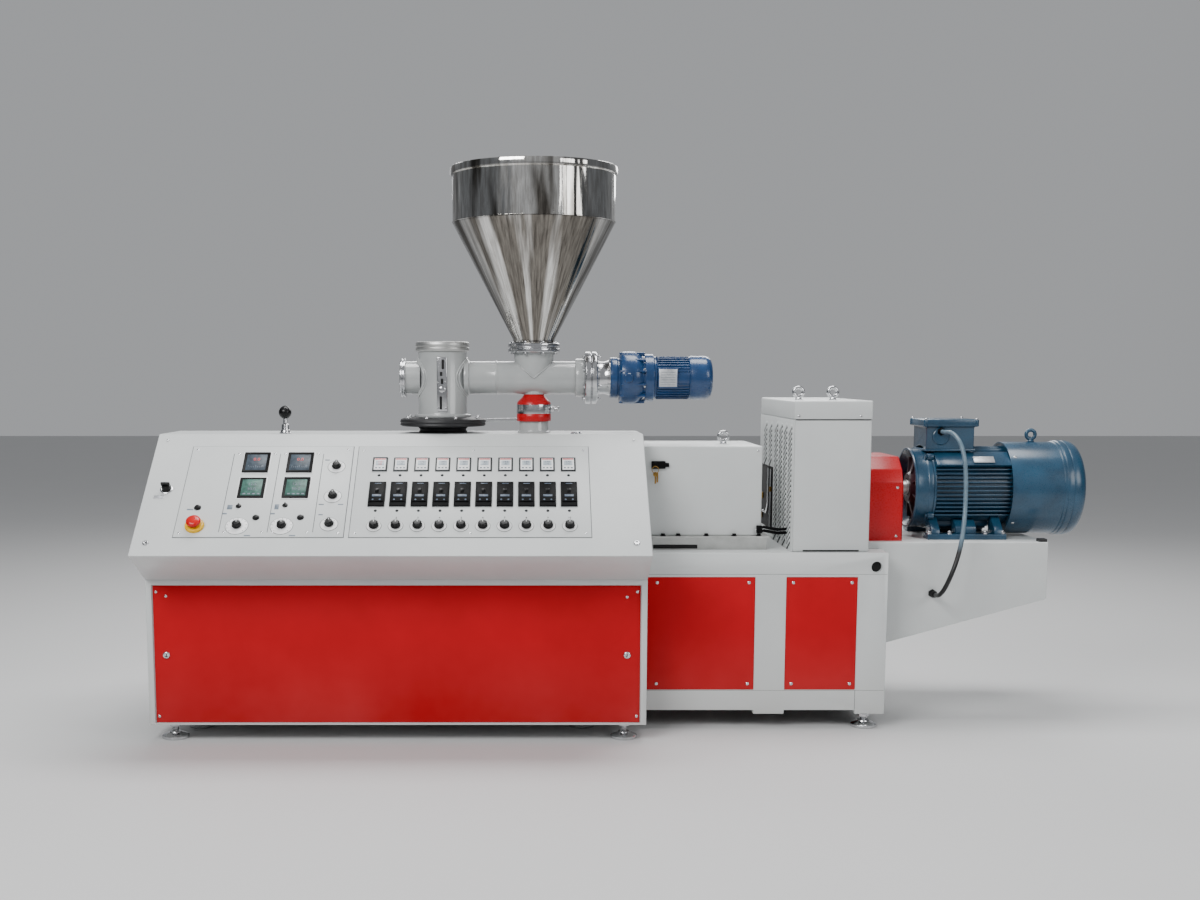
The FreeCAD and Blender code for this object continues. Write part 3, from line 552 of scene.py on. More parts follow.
def figure_red(name):
    # Lit red figures of a digital readout.
    return surface(name, ("#b8282c", "#d2474a"), 20, 2, 0.01, (0.3, 0.4), Emission_Color=linear("#c02a2e"),
                   Emission_Strength=0.25)


def figure_slate(name):
    # Unlit blue-grey figures and printed scales.
    return surface(name, ("#55606c", "#75818c"), 20, 2, 0.01, (0.35, 0.5))


def figure_black(name):
    # Screen-printed black scale marks.
    return surface(name, ("#1a1a1c", "#242427"), 20, 2, 0.01, (0.45, 0.6))


def breaker_window_glint(name):
    # Painted glint: blue-grey that stands in for the light on a breaker's clear label window; its small studs
    # share it.
    return surface(name, ("#3a4657", "#5f7084"), 14, 2, 0.01, (0.3, 0.4))


def window_pale(name):
    # Pale blue-grey readout window.
    return surface(name, ("#a9b4bd", "#bcc6cd"), 16, 2, 0.01, (0.24, 0.34))


def shield_painted_shade(name):
    # Painted shade on the recessed cast face and ribs inside the motor's end shield, in a dark maroon.
    return surface(name, ("#2a1a22", "#3c2630"), 60, 3, 0.3, (0.3, 0.45), Coat_Weight=0.2)


def polished_sheet(name):
    # Polished rolled stainless sheet: painted reflections, mirror streaks of the room painted as pale and
    # dark bands in the base colour down the cone, gentle waves from rolling, faint smears.
    made = bpy.data.materials.new(name)
    tree = empty_tree(made)
    where = add(tree, "ShaderNodeTexCoord").outputs["Object"]
    local = add(tree, "ShaderNodeMapping", Vector=where,
                Location=(-HOPPER_AXIS[0] * MM, -HOPPER_AXIS[1] * MM, 0.0)).outputs[0]
    parts = add(tree, "ShaderNodeSeparateXYZ", Vector=local)
    bearing = add(tree, "ShaderNodeMath", {"operation": "ARCTAN2"}, at0=parts.outputs["Y"],
                  at1=parts.outputs["X"]).outputs[0]
    # The bearing runs to and fro at the back, so its sine and cosine carry the streaks of painted
    # reflection round without a seam.
    sine = add(tree, "ShaderNodeMath", {"operation": "SINE"}, at0=bearing).outputs[0]
    cosine = add(tree, "ShaderNodeMath", {"operation": "COSINE"}, at0=bearing).outputs[0]
    slow = add(tree, "ShaderNodeMath", {"operation": "MULTIPLY"}, at0=parts.outputs["Z"],
               at1=0.35).outputs[0]
    round_it = add(tree, "ShaderNodeCombineXYZ", X=sine, Y=cosine, Z=slow).outputs[0]
    streak = add(tree, "ShaderNodeTexNoise", Vector=round_it, Scale=26.0, Detail=5.0,
                 Roughness=0.65).outputs["Fac"]
    wave = add(tree, "ShaderNodeTexNoise", Vector=round_it, Scale=4.5, Detail=2.0).outputs["Fac"]
    smear = add(tree, "ShaderNodeTexNoise", Vector=where, Scale=9.0, Detail=6.0).outputs["Fac"]
    reflection_noise = add(tree, "ShaderNodeTexNoise", Vector=round_it, Scale=2.6, Detail=3.0, Roughness=0.5,
                Distortion=0.4).outputs["Fac"]
    # Painted reflection: the drum above the shoulder faces the bright room, so it gets more pale bands.
    drum = add(tree, "ShaderNodeMath", {"operation": "GREATER_THAN"}, at0=parts.outputs["Z"],
               at1=2.236).outputs[0]
    lifted_reflection = add(tree, "ShaderNodeMath", {"operation": "MULTIPLY_ADD"}, at0=drum, at1=0.09,
                 at2=reflection_noise).outputs[0]
    band = add(tree, "ShaderNodeMapRange", {"interpolation_type": "SMOOTHSTEP"}, Value=lifted_reflection,
               From_Min=0.44, From_Max=0.58).outputs[0]
    tone = add(tree, "ShaderNodeMapRange", Value=streak, From_Min=0.35, From_Max=0.65).outputs[0]
    # Painted reflections: dark and pale tones of the room's reflection, picked band by band.
    dark = add(tree, "ShaderNodeMix", {"data_type": "RGBA"}, at0=tone, at6=linear("#4e4a45"),
               at7=linear("#858079")).outputs[2]
    pale = add(tree, "ShaderNodeMix", {"data_type": "RGBA"}, at0=tone, at6=linear("#c2bfba"),
               at7=linear("#f4f3f0")).outputs[2]
    colour = add(tree, "ShaderNodeMix", {"data_type": "RGBA"}, at0=band, at6=dark, at7=pale).outputs[2]
    gloss = add(tree, "ShaderNodeMapRange", Value=smear, From_Min=0.35, From_Max=0.7, To_Min=0.06,
                To_Max=0.15).outputs[0]
    rolled = add(tree, "ShaderNodeBump", Height=wave, Strength=0.5, Distance=0.02).outputs[0]
    relief = add(tree, "ShaderNodeBump", Height=streak, Strength=0.12, Distance=0.002,
                 Normal=rolled).outputs[0]
    skin = add(tree, "ShaderNodeBsdfPrincipled", Base_Color=colour, Metallic=1.0, Roughness=gloss,
               Normal=relief)
    add(tree, "ShaderNodeOutputMaterial", Surface=skin.outputs[0])
    return made


FINISHES = {made.__name__: made for made in (
    powder_grey, pipe_grey, powder_red, gloss_red, motor_blue, feeder_blue, machined_steel, bright_steel,
    aluminium_plate, rubber_black, plastic_black, plastic_knob, plastic_white, plastic_frame, dark_gap,
    seam_shade, conduit_plastic, brass, mushroom_red, collar_yellow, screen_slate, screen_green, figure_red,
    figure_slate, figure_black, breaker_window_glint, window_pale, shield_painted_shade, polished_sheet)}


# Pieces of the extruder.

def settings():
    """The sizes and colours set in the panel."""
    return bpy.context.scene.extruder


def length(name, description, default):
    """A property that holds a length in metres."""
    return bpy.props.FloatProperty(name=name, description=description, default=default, unit="LENGTH")


class ExtruderSettings(bpy.types.PropertyGroup):
    """Sizes and colours of the finish."""

    frame_edge: length("Frame edge", "Rounding of the welded frame's edges", 0.004)
    screw_radius: length("Screw radius", "Radius of a panel screw's head", 0.007)
    fin_pitch: length("Fin pitch", "Distance between the motor's cooling fins", 0.019)
    fin_thickness: length("Fin thickness", "Thickness of a cooling fin", 0.0055)
    conduit_diameter: length("Conduit diameter", "Diameter of the motor's conduit", 0.02)
    floor_colour: bpy.props.FloatVectorProperty(
        name="Floor colour", description="Colour of the studio floor", subtype="COLOR", size=4,
        default=(0.62, 0.62, 0.62, 1.0), min=0, max=1)


class EXTRUDER_OT_base_frame(bpy.types.Operator):
    """Welded base frame, its end plates, deck and red panels"""

    bl_idname = "extruder.base_frame"
    bl_label = "Base frame"

    def execute(self, context):
        edge = settings().frame_edge / MM
        recoat("base_frame", "base_side_frames", "powder_grey", edge)
        recoat("base_ends", "base_end_plates", "powder_grey", 2)
        recoat("base_top_deck", "base_deck", "powder_grey", 2)
        recoat("front_panels", "base_front_panels", "powder_red", 1.2)
        recoat("rear_panels", "base_rear_panels", "powder_red", 1.2)
        columns = [-1796, -1138, -946, -288, 138, 543, 738, 997]
        spots = [(x, -238, z) for x in columns for z in (202, 656)]
        back = [(x, 733, z) for x in (-1796, -1138, -946, -288, -96, 543, 738, 997) for z in (202, 656)]
        radius = settings().screw_radius / MM
        heads = screws("-Y", spots, radius, 4.5) + screws("+Y", back, radius, 4.5)
        put("panel_screws", {"bright_steel": heads})
        seams = blocks((((1020, -243.4, 86), (1022, -242, 174)), ((-246, -243.4, 172), (1150, -242, 173.4)),
                        ((80, -243.4, 692.6), (1150, -242, 694))), 0.2)
        put("frame_joints", {"seam_shade": seams})
        put("lifting_bore", {"powder_grey": turned("Y", (1103, -243, 726),
                                                   [(-1.5, 30), (-1.5, 24.4), (2, 24.4), (2, 30)],
                                                   edge=0.4)})
        put("bore_shadow", {"dark_gap": rod("Y", (1103, -222, 726), 23.5, 30, 0, 48)})
        return {"FINISHED"}


class EXTRUDER_OT_feet(bpy.types.Operator):
    """Levelling feet with threaded stems and lock nuts"""

    bl_idname = "extruder.feet"
    bl_label = "Levelling feet"

    def execute(self, context):
        thread = []
        for step in range(6):
            thread += [(28 + step * 4, 12.6), (30 + step * 4, 14)]
        pad = [(0, 0), (0, 55), (3, 58), (13, 58), (16, 55), (22, 40), (26, 27), (30, 25), (30, 15)]
        shapes = []
        for x in (1072, -192, -1892):
            for y in (-198, 693):
                shapes.append((x, y, 66))
        for x in (-1962, -16):
            shapes.append((x, -400, 74))
        pieces = []
        for x, y, top in shapes:
            pieces.append(turned("Z", (x, y, 0), pad + [(22, 14)], steps=40))
            stem = [(18, 0), (18, 14)] + [(place, radius) for place, radius in thread if place < top - 4]
            pieces.append(turned("Z", (x, y, 0), stem + [(top, 14), (top, 0)], steps=24))
            pieces.append(hexagon("Z", (x, y, top - 20), 44, 16))
        put("feet", {"bright_steel": pieces}, "levelling_feet")
        return {"FINISHED"}


class EXTRUDER_OT_cabinet(bpy.types.Operator):
    """Low cabinet with its red door, locks and screws"""

    bl_idname = "extruder.cabinet"
    bl_label = "Console cabinet"

    def execute(self, context):
        recoat("cabinet", "console_cabinet", "powder_grey", 3)
        recoat("cabinet_door", "console_door_panel", "powder_red", 2)
        face = -467
        locks = []
        for x in (-1975, -8):
            locks.append(turned("Y", (x, face, 377), [(0, 15), (-4, 15), (-6, 12), (-6, 8), (-3, 8),
                                                      (-3, 0)], edge=0.6, steps=32))
        put("door_locks", {"bright_steel": locks})
        # Painted shade: a black slot for the unlit keyhole of each lock.
        slots = [block((x - 1.6, face - 4.2, 370), (x + 1.6, face - 2.8, 384), 0.3) for x in (-1975, -8)]
        put("lock_slots", {"dark_gap": slots})
        spots = [(x, face, z) for x in (-2012, 34) for z in (110, 650)] + [(-1970, face, 632),
                                                                           (-10, face, 628)]
        put("door_screws", {"bright_steel": screws("-Y", spots)})
        hinge = []
        for z in (150, 377, 604):
            hinge.append(rod("Z", (-2036, -470, z - 26), 5, 52, 0.8, 16))
        put("door_hinges", {"powder_grey": hinge})
        return {"FINISHED"}


class EXTRUDER_OT_desk(bpy.types.Operator):
    """Sloping desk, its control plates, seams and screws"""

    bl_idname = "extruder.desk"
    bl_label = "Desk and control plates"

    def execute(self, context):
        recoat("desk", "console_desk", "powder_grey", 4, 3)
        recoat("plates", "control_plates", "powder_grey", 1.2)
        rims = []
        for left, right, low, high in ((166, 864, 104, 648), (888, 1884, 104, 648)):
            for spot in ((left - 3, low - 3, right + 3, low), (left - 3, high, right + 3, high + 3),
                         (left - 3, low, left, high), (right, low, right + 3, high)):
                rims.append(tile((spot[0], spot[1]), (spot[2], spot[3]), (-3.5, -2.5)))
        for along in (350, 550, 737):
            rims.append(tile((along - 1.5, 131), (along + 1.5, 601), (-0.6, 0.35)))
        put("plate_seams", {"seam_shade": rims})
        spots = [(x, y) for x in (188, 842) for y in (126, 626)]
        spots += [(372, 601), (372, 131), (528, 601), (528, 131), (572, 601), (715, 601), (572, 131),
                  (715, 131)]
        spots += [(x, y) for x in (910, 1386, 1862) for y in (126, 622)] + [(46, 690), (2086, 690)]
        head = screw_head(5, 2.6)
        local = [DESK @ shift((x, y, PLATE)) for x, y in spots]
        put("plate_screws", {"bright_steel": copies(head, local)})
        caps = []
        for x in (60, 2068):
            caps.append(stud((x, 72), [(0, 0), (0, 13), (3, 13), (5.5, 10), (5.5, 6.5), (3.5, 6), (3.5, 0)],
                             0.5, 32, level=0))
        put("corner_locks", {"bright_steel": caps})
        # Painted shade: black key slots for the unlit inside of the corner locks.
        keys = [tile((x - 1.2, 67), (x + 1.2, 77), (0.2, 1.2)) for x in (60, 2068)]
        ends = screws("-X", [(-2054, y, z) for y, z in ((-620, 860), (-240, 1180), (150, 1250),
                                                        (150, 830))])
        ends += screws("+X", [(76, y, z) for y, z in ((-620, 860), (-240, 1180))])
        put("desk_end_screws", {"bright_steel": ends})
        put("corner_lock_slots", {"dark_gap": keys})
        caps = turned("Z", (-218, -130, DECK), [(0, 0), (0, 26), (3, 26), (5, 22), (9, 20), (9, 0)], 0.6,
                      32)
        put("desk_cap", {"bright_steel": caps})
        return {"FINISHED"}


class EXTRUDER_OT_instruments(bpy.types.Operator):
    """Displays, temperature controllers and zone breakers"""

    bl_idname = "extruder.instruments"
    bl_label = "Instruments"

    def execute(self, context):
        self.displays()
        self.controllers()
        self.breakers()
        return {"FINISHED"}

    def displays(self):
        """Two columns of a slate meter above a green readout."""
        bezels, rims, slate, green, marks, lines = [], [], [], [], [], []
        for left in (397, 585):
            for row, up in enumerate((328, 482)):
                bezels.append(framed_tile((left, up), (left + 112, up + 122), 8, 13, 3, 1.5))
                rims.append(tile((left - 5, up - 5), (left + 117, up + 127), (-0.4, 1.4), 0.5))
                (slate if row else green).append(tile((left + 13, up + 13), (left + 99, up + 109),
                                                      (4.4, 5.6), 0.3))
                if row:
                    marks.append(lettering("0.0", 24, (left + 56, up + 78, PLATE + 6)))
                    lines.append(lettering("A", 18, (left + 84, up + 36, PLATE + 6)))
                    for step in range(9):
                        x = left + 24 + step * 8
                        high = up + (42 if step % 4 == 0 else 36)
                        lines.append(tile((x - 0.8, up + 28), (x + 0.8, high), (5.2, 6.2), 0.1))
                else:
                    for step, text in enumerate(("12.5", "30.0")):
                        spot = (left + 56, up + 80 - 30 * step, PLATE + 6)
                        lines.append(lettering(text, 22, spot))
                    for step in range(4):
                        x = left + 22 + step * 20
                        lines.append(tile((x, up + 18), (x + 12, up + 26), (5.2, 6.4), 0.6))
        put("display_bezels", {"plastic_black": bezels}, "display_units", "display_glass")
        put("display_surrounds", {"plastic_white": rims}, slot="display_glass")
        put("display_slate", {"screen_slate": slate}, slot="display_glass")
        put("display_green", {"screen_green": green}, slot="display_glass")
        put("display_figures", {"figure_red": marks}, slot="display_glass")
        put("display_scales", {"figure_slate": lines}, slot="display_glass")

    def controllers(self):
        """A temperature controller and two lamps for each zone."""
        frames, faces, panes, reds, greys, dots = [], [], [], [], [], []
        readings = ("165", "170", "175", "180", "180", "185", "185", "180", "175", "170")
        low = 491
        for centre, reading in zip(ZONES, readings):
            left = centre - 32
            frames.append(framed_tile((left, low), (left + 64, low + 84), 6, 7, 2, 1.4))
            faces.append(tile((left + 7, low + 7), (left + 57, low + 77), (3.4, 4.6), 0.4))
            panes.append(tile((left + 14, low + 34), (left + 50, low + 62), (4.2, 5.2), 0.4))
            figures = reds if centre == ZONES[0] else greys
            figures.append(lettering(reading, 15, (centre, low + 54, PLATE + 5.4)))
            figures.append(lettering(reading, 11, (centre, low + 41, PLATE + 5.4)))
            reds.append(tile((left + 9, low + 69), (left + 55, low + 75), (4.2, 5)))
            for key in range(3):
                x = left + 17 + key * 15
                greys.append(tile((x - 4, low + 15), (x + 4, low + 22), (4.2, 5.6), 0.6))
            for up in (467, 255):
                dots.append(stud((centre, up), [(-0.5, 0), (-0.5, 6.5), (1.5, 6.5), (3, 5), (3.6, 0)], 0.3,
                                 16))
        put("controller_frames", {"plastic_frame": frames}, "temperature_controllers", "instrument_plastic")
        put("controller_faces", {"plastic_white": faces}, slot="instrument_plastic")
        put("controller_windows", {"window_pale": panes}, slot="instrument_plastic")
        put("controller_keys", {"figure_slate": greys}, slot="instrument_plastic")
        put("controller_figures", {"figure_red": reds}, slot="instrument_plastic")
        put("zone_lamps", {"plastic_frame": dots}, slot="instrument_plastic")

    def breakers(self):
        """A breaker with its lever and windows for each zone."""
        bodies, windows, levers = [], [], []
        low = 278
        for left in [centre - 35 for centre in ZONES]:
            base = block((left, low, PLATE), (left + 70, low + 144, PLATE + 8), 1.4)
            step = block((left + 5, low + 22, PLATE + 7), (left + 65, low + 122, PLATE + 12), 1.4)
            bodies += [seat(base), seat(step)]
            windows.append(tile((left + 16, low + 50), (left + 54, low + 62), (11.5, 12.6), 0.4))
            windows.append(tile((left + 22, low + 130), (left + 50, low + 134), (7.5, 8.6), 0.3))
            levers.append(seat(sheet_of([(left + 27, low + 70, PLATE + 11),
                                         (left + 27, low + 98, PLATE + 11),
                                         (left + 27, low + 92, PLATE + 20),
                                         (left + 27, low + 82, PLATE + 21)], (16, 0, 0), 1.2)))
            for x in (left + 20, left + 50):
                windows.append(stud((x, low + 32), [(-1, 0), (-1, 4), (0.8, 4), (1.2, 0)], 0.2, 12,
                                    level=PLATE + 12))
        put("breaker_bodies", {"plastic_black": bodies}, "zone_breakers")
        put("breaker_levers", {"plastic_knob": levers}, slot="black_plastic")
        put("breaker_windows", {"breaker_window_glint": windows}, slot="black_plastic")


def knob_parts(centre, radius, grip):
    """A fluted cap on a skirt with a pointer, turned about the desk's normal at its centre."""
    x, y = centre
    base = PLATE + 6
    skirt = turned("Z", (x, y, base), [(0, 0), (0, radius), (2.5, radius), (5, radius * 0.86),
                                       (16, radius * 0.74), (18, radius * 0.62), (18, 0)], 0.5, 40)
    stem = rod("Z", (x, y, PLATE + 0.3), 6, 6.5, 0, 16)
    parts = [skirt, stem]
    if grip:
        parts.append(block((x - radius * 0.26, y - radius * 0.92, base + 3),
                           (x + radius * 0.26, y + radius * 0.92, base + 20), 2.2, 3))
    else:
        flute = block((x + radius * 0.76, y - 1.1, base + 3), (x + radius * 0.9, y + 1.1, base + 16), 0.5)
        parts += circled(flute, "Z", (x, y, 0), 18, 0)
    pointer = block((x - 1.1, y + radius * 0.2, base + (19.6 if grip else 17.4)),
                    (x + 1.1, y + radius * 0.6, base + (20.5 if grip else 18.5)), 0.2)
    return parts, pointer


class EXTRUDER_OT_knobs(bpy.types.Operator):
    """Zone, speed and mode knobs with their rings and dials"""

    bl_idname = "extruder.knobs"
    bl_label = "Knobs and dials"

    def execute(self, context):
        self.cover, self.marks, self.gaps = [], [], []
        for zone, along in enumerate(ZONES, 1):
            self.knob(f"zone_knob_{zone}", (along, KNOB_ROW), 21)
            self.ring((along, KNOB_ROW), 30)
            self.marks.append(lettering(str(zone), 13, (along, 214, PLATE + 0.4)))
        for name, along in (("screw_speed_knob", 420), ("feeder_speed_knob", 605)):
            self.knob(name, (along, KNOB_ROW), 20)
            self.dial((along, KNOB_ROW), 46, 11, 270)
        for name, up in (("mode_knob_low", 176), ("mode_knob_middle", 340), ("mode_knob_high", 520)):
            self.knob(name, (800, up), 20, grip=True)
            self.dial((800, up), 36, 3, 90)
        put("knob_dials", {"plastic_white": self.cover}, slot="knob_plastic")
        put("dial_marks", {"figure_black": self.marks}, slot="knob_plastic")
        put("dial_gaps", {"seam_shade": self.gaps}, slot="knob_plastic")
        self.small_parts()
        return {"FINISHED"}

    def knob(self, node, centre, radius, grip=False):
        """A cap that rides on its knob's body in place of the CAD knob."""
        parts, pointer = knob_parts(centre, radius, grip)
        put(node + "_cap", {"plastic_knob": [seat(part) for part in parts], "plastic_white": seat(pointer)},
            node, body=node)

    def ring(self, centre, radius):
        """A raised ring round a zone knob."""
        self.cover.append(stud(centre, [(-0.4, 0), (-0.4, radius), (1.8, radius), (3.6, radius - 2),
                                        (3.6, radius - 4), (1.6, radius - 5.5), (1.6, 9), (-0.4, 9)], 0))
        self.outline(centre, radius)

    def outline(self, centre, radius):
        """A thin shadow gap round a ring or dial."""
        self.gaps.append(stud(centre, [(-0.3, radius), (-0.3, radius + 2.2), (0.4, radius + 2.2),
                                       (0.4, radius), (-0.3, radius)], 0, 48))

    def dial(self, centre, radius, count, sweep):
        """A flat dial with marks over the knob's sweep in degrees."""
        self.outline(centre, radius)
        self.cover.append(stud(centre, [(-0.4, 8), (-0.4, radius), (1.0, radius), (1.6, radius - 1),
                                        (1.6, 27), (3.4, 26), (3.4, 23), (1.8, 22), (1.8, 8), (-0.4, 8)], 0,
                               48))
        for step in range(count):
            angle = math.radians(sweep / 2 - sweep * step / (count - 1))
            mark = block((-0.9, radius - 9, PLATE + 1.4), (0.9, radius - 3, PLATE + 1.95), 0.1)
            turn = shift((*centre, 0)) @ Matrix.Rotation(angle, 4, "Z")
            self.marks.append(seat(mark, DESK @ turn))

    def small_parts(self):
        """Push buttons, key switches and small tags between the instruments."""
        caps, tags = [], []
        for x, y in ((493, 214), (678, 215), (242, 272)):
            caps.append(stud((x, y), [(-0.4, 0), (-0.4, 15), (2.5, 15), (4, 13), (4, 11), (8, 10.5),
                                      (10, 9), (10, 0)], 0.4, 28))
        for x, y in ((412, 281), (606, 286)):
            base = turned("Z", (x, y, PLATE), [(-0.4, 0), (-0.4, 12), (2.4, 12), (3.4, 10), (3.4, 0)], 0.3,
                          28)
            lever = block((x - 3, y - 9, PLATE + 3), (x + 3, y + 9, PLATE + 12), 1.4)
            caps += [seat(base), seat(lever)]
        for x, y, wide, tall in ((376, 276, 22, 26), (572, 278, 18, 30), (360, 238, 18, 8), (560, 238, 18, 8),
                                 (212, 262, 26, 7), (757, 292, 22, 6), (838, 292, 22, 6), (757, 562, 20, 6),
                                 (760, 232, 18, 6), (470, 112, 26, 6), (655, 112, 26, 6)):
            tags.append(tile((x - wide / 2, y - tall / 2), (x + wide / 2, y + tall / 2), (-0.3, 0.5)))
        put("push_buttons", {"plastic_knob": caps})
        put("small_tags", {"figure_slate": tags}, slot="instrument_plastic")


class EXTRUDER_OT_stop(bpy.types.Operator):
    """Emergency stop, main switch and vent pull knob"""

    bl_idname = "extruder.stop"
    bl_label = "Stop button and switch"

    def execute(self, context):
        put("stop_collar", {"collar_yellow": stud((246, 165),
                                                  [(0, 16), (0, 40), (9, 40), (13, 36), (14, 32), (14, 20),
                                                   (12, 16), (0, 16)], 0.6, 56)}, "emergency_stop_collar")
        head = [(9, 0), (9, 15.5), (27, 15.5), (27, 27), (28.5, 30.5), (31, 31), (34, 30.6), (37.5, 28.5),
                (40.5, 24), (42.4, 17), (43, 9), (43, 0)]
        put("stop_button", {"mushroom_red": stud((246, 165), head, 0, 56, 40)}, "emergency_stop_button",
            body="emergency_stop_button")
        body = turned("Z", (92, 385, 0), [(0, 0), (0, 20), (4, 20), (6, 17.5), (22, 17), (26, 15), (26, 0)],
                      0.5, 40)
        grip = block((73, 379.5, 24), (111, 390.5, 40), 3, 3)
        put("main_switch_body", {"plastic_knob": [seat(body), seat(grip)],
                                 "bright_steel": stud((92, 385),
                                                      [(0, 20), (0, 27), (3, 27), (4.5, 24), (4.5, 20),
                                                       (0, 20)], 0.3, level=0)}, "main_switch",
            "black_plastic")
        put("switch_tag", {"aluminium_plate": tile((46, 330), (88, 348), (-3, -1.8), 0.4)},
            slot="instrument_plastic")
        spot = (-1508, -110.2, DECK - 0.1)
        base = turned("Z", spot, [(0, 0), (0, 26), (5, 26), (7, 22), (16, 21), (18, 17), (40, 16), (43, 13),
                                  (46, 9), (92, 9), (92, 0)], 0.6, 36)
        put("vent_pull", {"bright_steel": base, "plastic_knob": turned("Z", spot,
                                                                       [(66, 9), (69, 15), (75, 21.5),
                                                                        (83, 26.3), (91, 28), (96, 28),
                                                                        (104, 26.3), (112, 21.5), (119, 14),
                                                                        (123, 6), (124, 0)], 0, 40, 60)},
            "vent_pull_knob")
        return {"FINISHED"}


class EXTRUDER_OT_barrel(bpy.types.Operator):
    """Barrel end with its die flange, and the cover behind the desk"""

    bl_idname = "extruder.barrel"
    bl_label = "Barrel and rear cover"

    def execute(self, context):
        recoat("barrel_end", "barrel", "machined_steel", 1.5)
        recoat("rear_cover", "barrel_rear_cover", "powder_grey", 4, 3)
        # Painted shade: black slots for the unlit insides of the vents in the rear cover.
        slot = block((0, 498, 0), (6, 500.6, 90), 0.8)
        places = [(-1930 + bay * 420 + step * 14, 0, 850) for bay in range(5) for step in range(14)]
        put("rear_vents", {"dark_gap": copies(slot, places)})
        spots = [(x, 500, z) for x in (-2010, -1600, -1190, -780, -370, 32) for z in (806, 1040)]
        put("rear_screws", {"bright_steel": screws("+Y", spots)})
        handles = []
        for x in (-1800, -990, -180):
            handles.append(bar_along([(x - 60, 500, 990), (x - 60, 528, 990), (x - 54, 536, 990),
                                      (x + 54, 536, 990), (x + 60, 528, 990), (x + 60, 500, 990)], 6))
        put("rear_handles", {"plastic_black": handles})
        return {"FINISHED"}


class EXTRUDER_OT_gearbox(bpy.types.Operator):
    """Gearbox cover on its machined bed, with latch, keys and bolts"""

    bl_idname = "extruder.gearbox"
    bl_label = "Gearbox cover and bed"

    def execute(self, context):
        recoat("gear_cover", "gearbox_cover", "powder_grey", 7, 3)
        recoat("gear_bed", "gearbox_bed", "machined_steel", 1.5)
        pieces = []
        for x in (172, 240, 365, 490, 600):
            pieces.append(rod("Z", (x, -122, 850), 13, 2.5, 0.4))
            pieces.append(hexagon("Z", (x, -122, 852), 17, 9))
        put("bed_bolts", {"plastic_black": pieces}, slot="bright_steel")
        # Painted shade: a black slot for the unlit gap low in the gearbox bed.
        gaps = [block((128, -129.5, 794), (326, -126, 811), 2)]
        put("bed_slots", {"dark_gap": gaps})
        wires = [bar_along([(604, -112, 868 + lift), (624, -118, 874 + lift), (650, -112, 868 + lift),
                            (690, -96, 860 + lift), (729, -88, 862 + lift)], 7) for lift in (0, 16)]
        wires.append(block((590, -122, 862), (616, -106, 896), 3))
        wires.append(block((80, -113, 985), (91, -106.5, 1048), 3))
        put("sensor_cables", {"plastic_black": wires})
        latch = block((118, -121, 1150), (180, -107, 1184), 2.5)
        tongue = block((170, -119, 1158), (196, -109, 1176), 2)
        put("cover_latch", {"plastic_black": [latch, tongue,
                                              turned("Y", (134, -121, 1167),
                                                     [(-8, 0), (-8, 9), (-6, 11), (0, 11), (0, 0)], 0.5,
                                                     24)]}, "gearbox_cover_latch")
        key_ring = bar_along([(x, -131, z) for x, z in around(24, 15, (134, 1146), 0)], 1.5, closed=True)
        keys = [block((131, -129, 1084), (139, -126.5, 1134), 0.8),
                block((140, -133, 1090), (147, -130.5, 1134), 0.8), rod("Y", (135, -131, 1126), 11, 3, 0.5)]
        put("latch_keys", {"brass": [key_ring, *keys]}, slot="bright_steel")
        spots = [(96, -107, 872), (593, -107, 872), (593, -107, 1228)]
        put("cover_screws", {"bright_steel": screws("-Y", spots, 5, 3)})
        return {"FINISHED"}


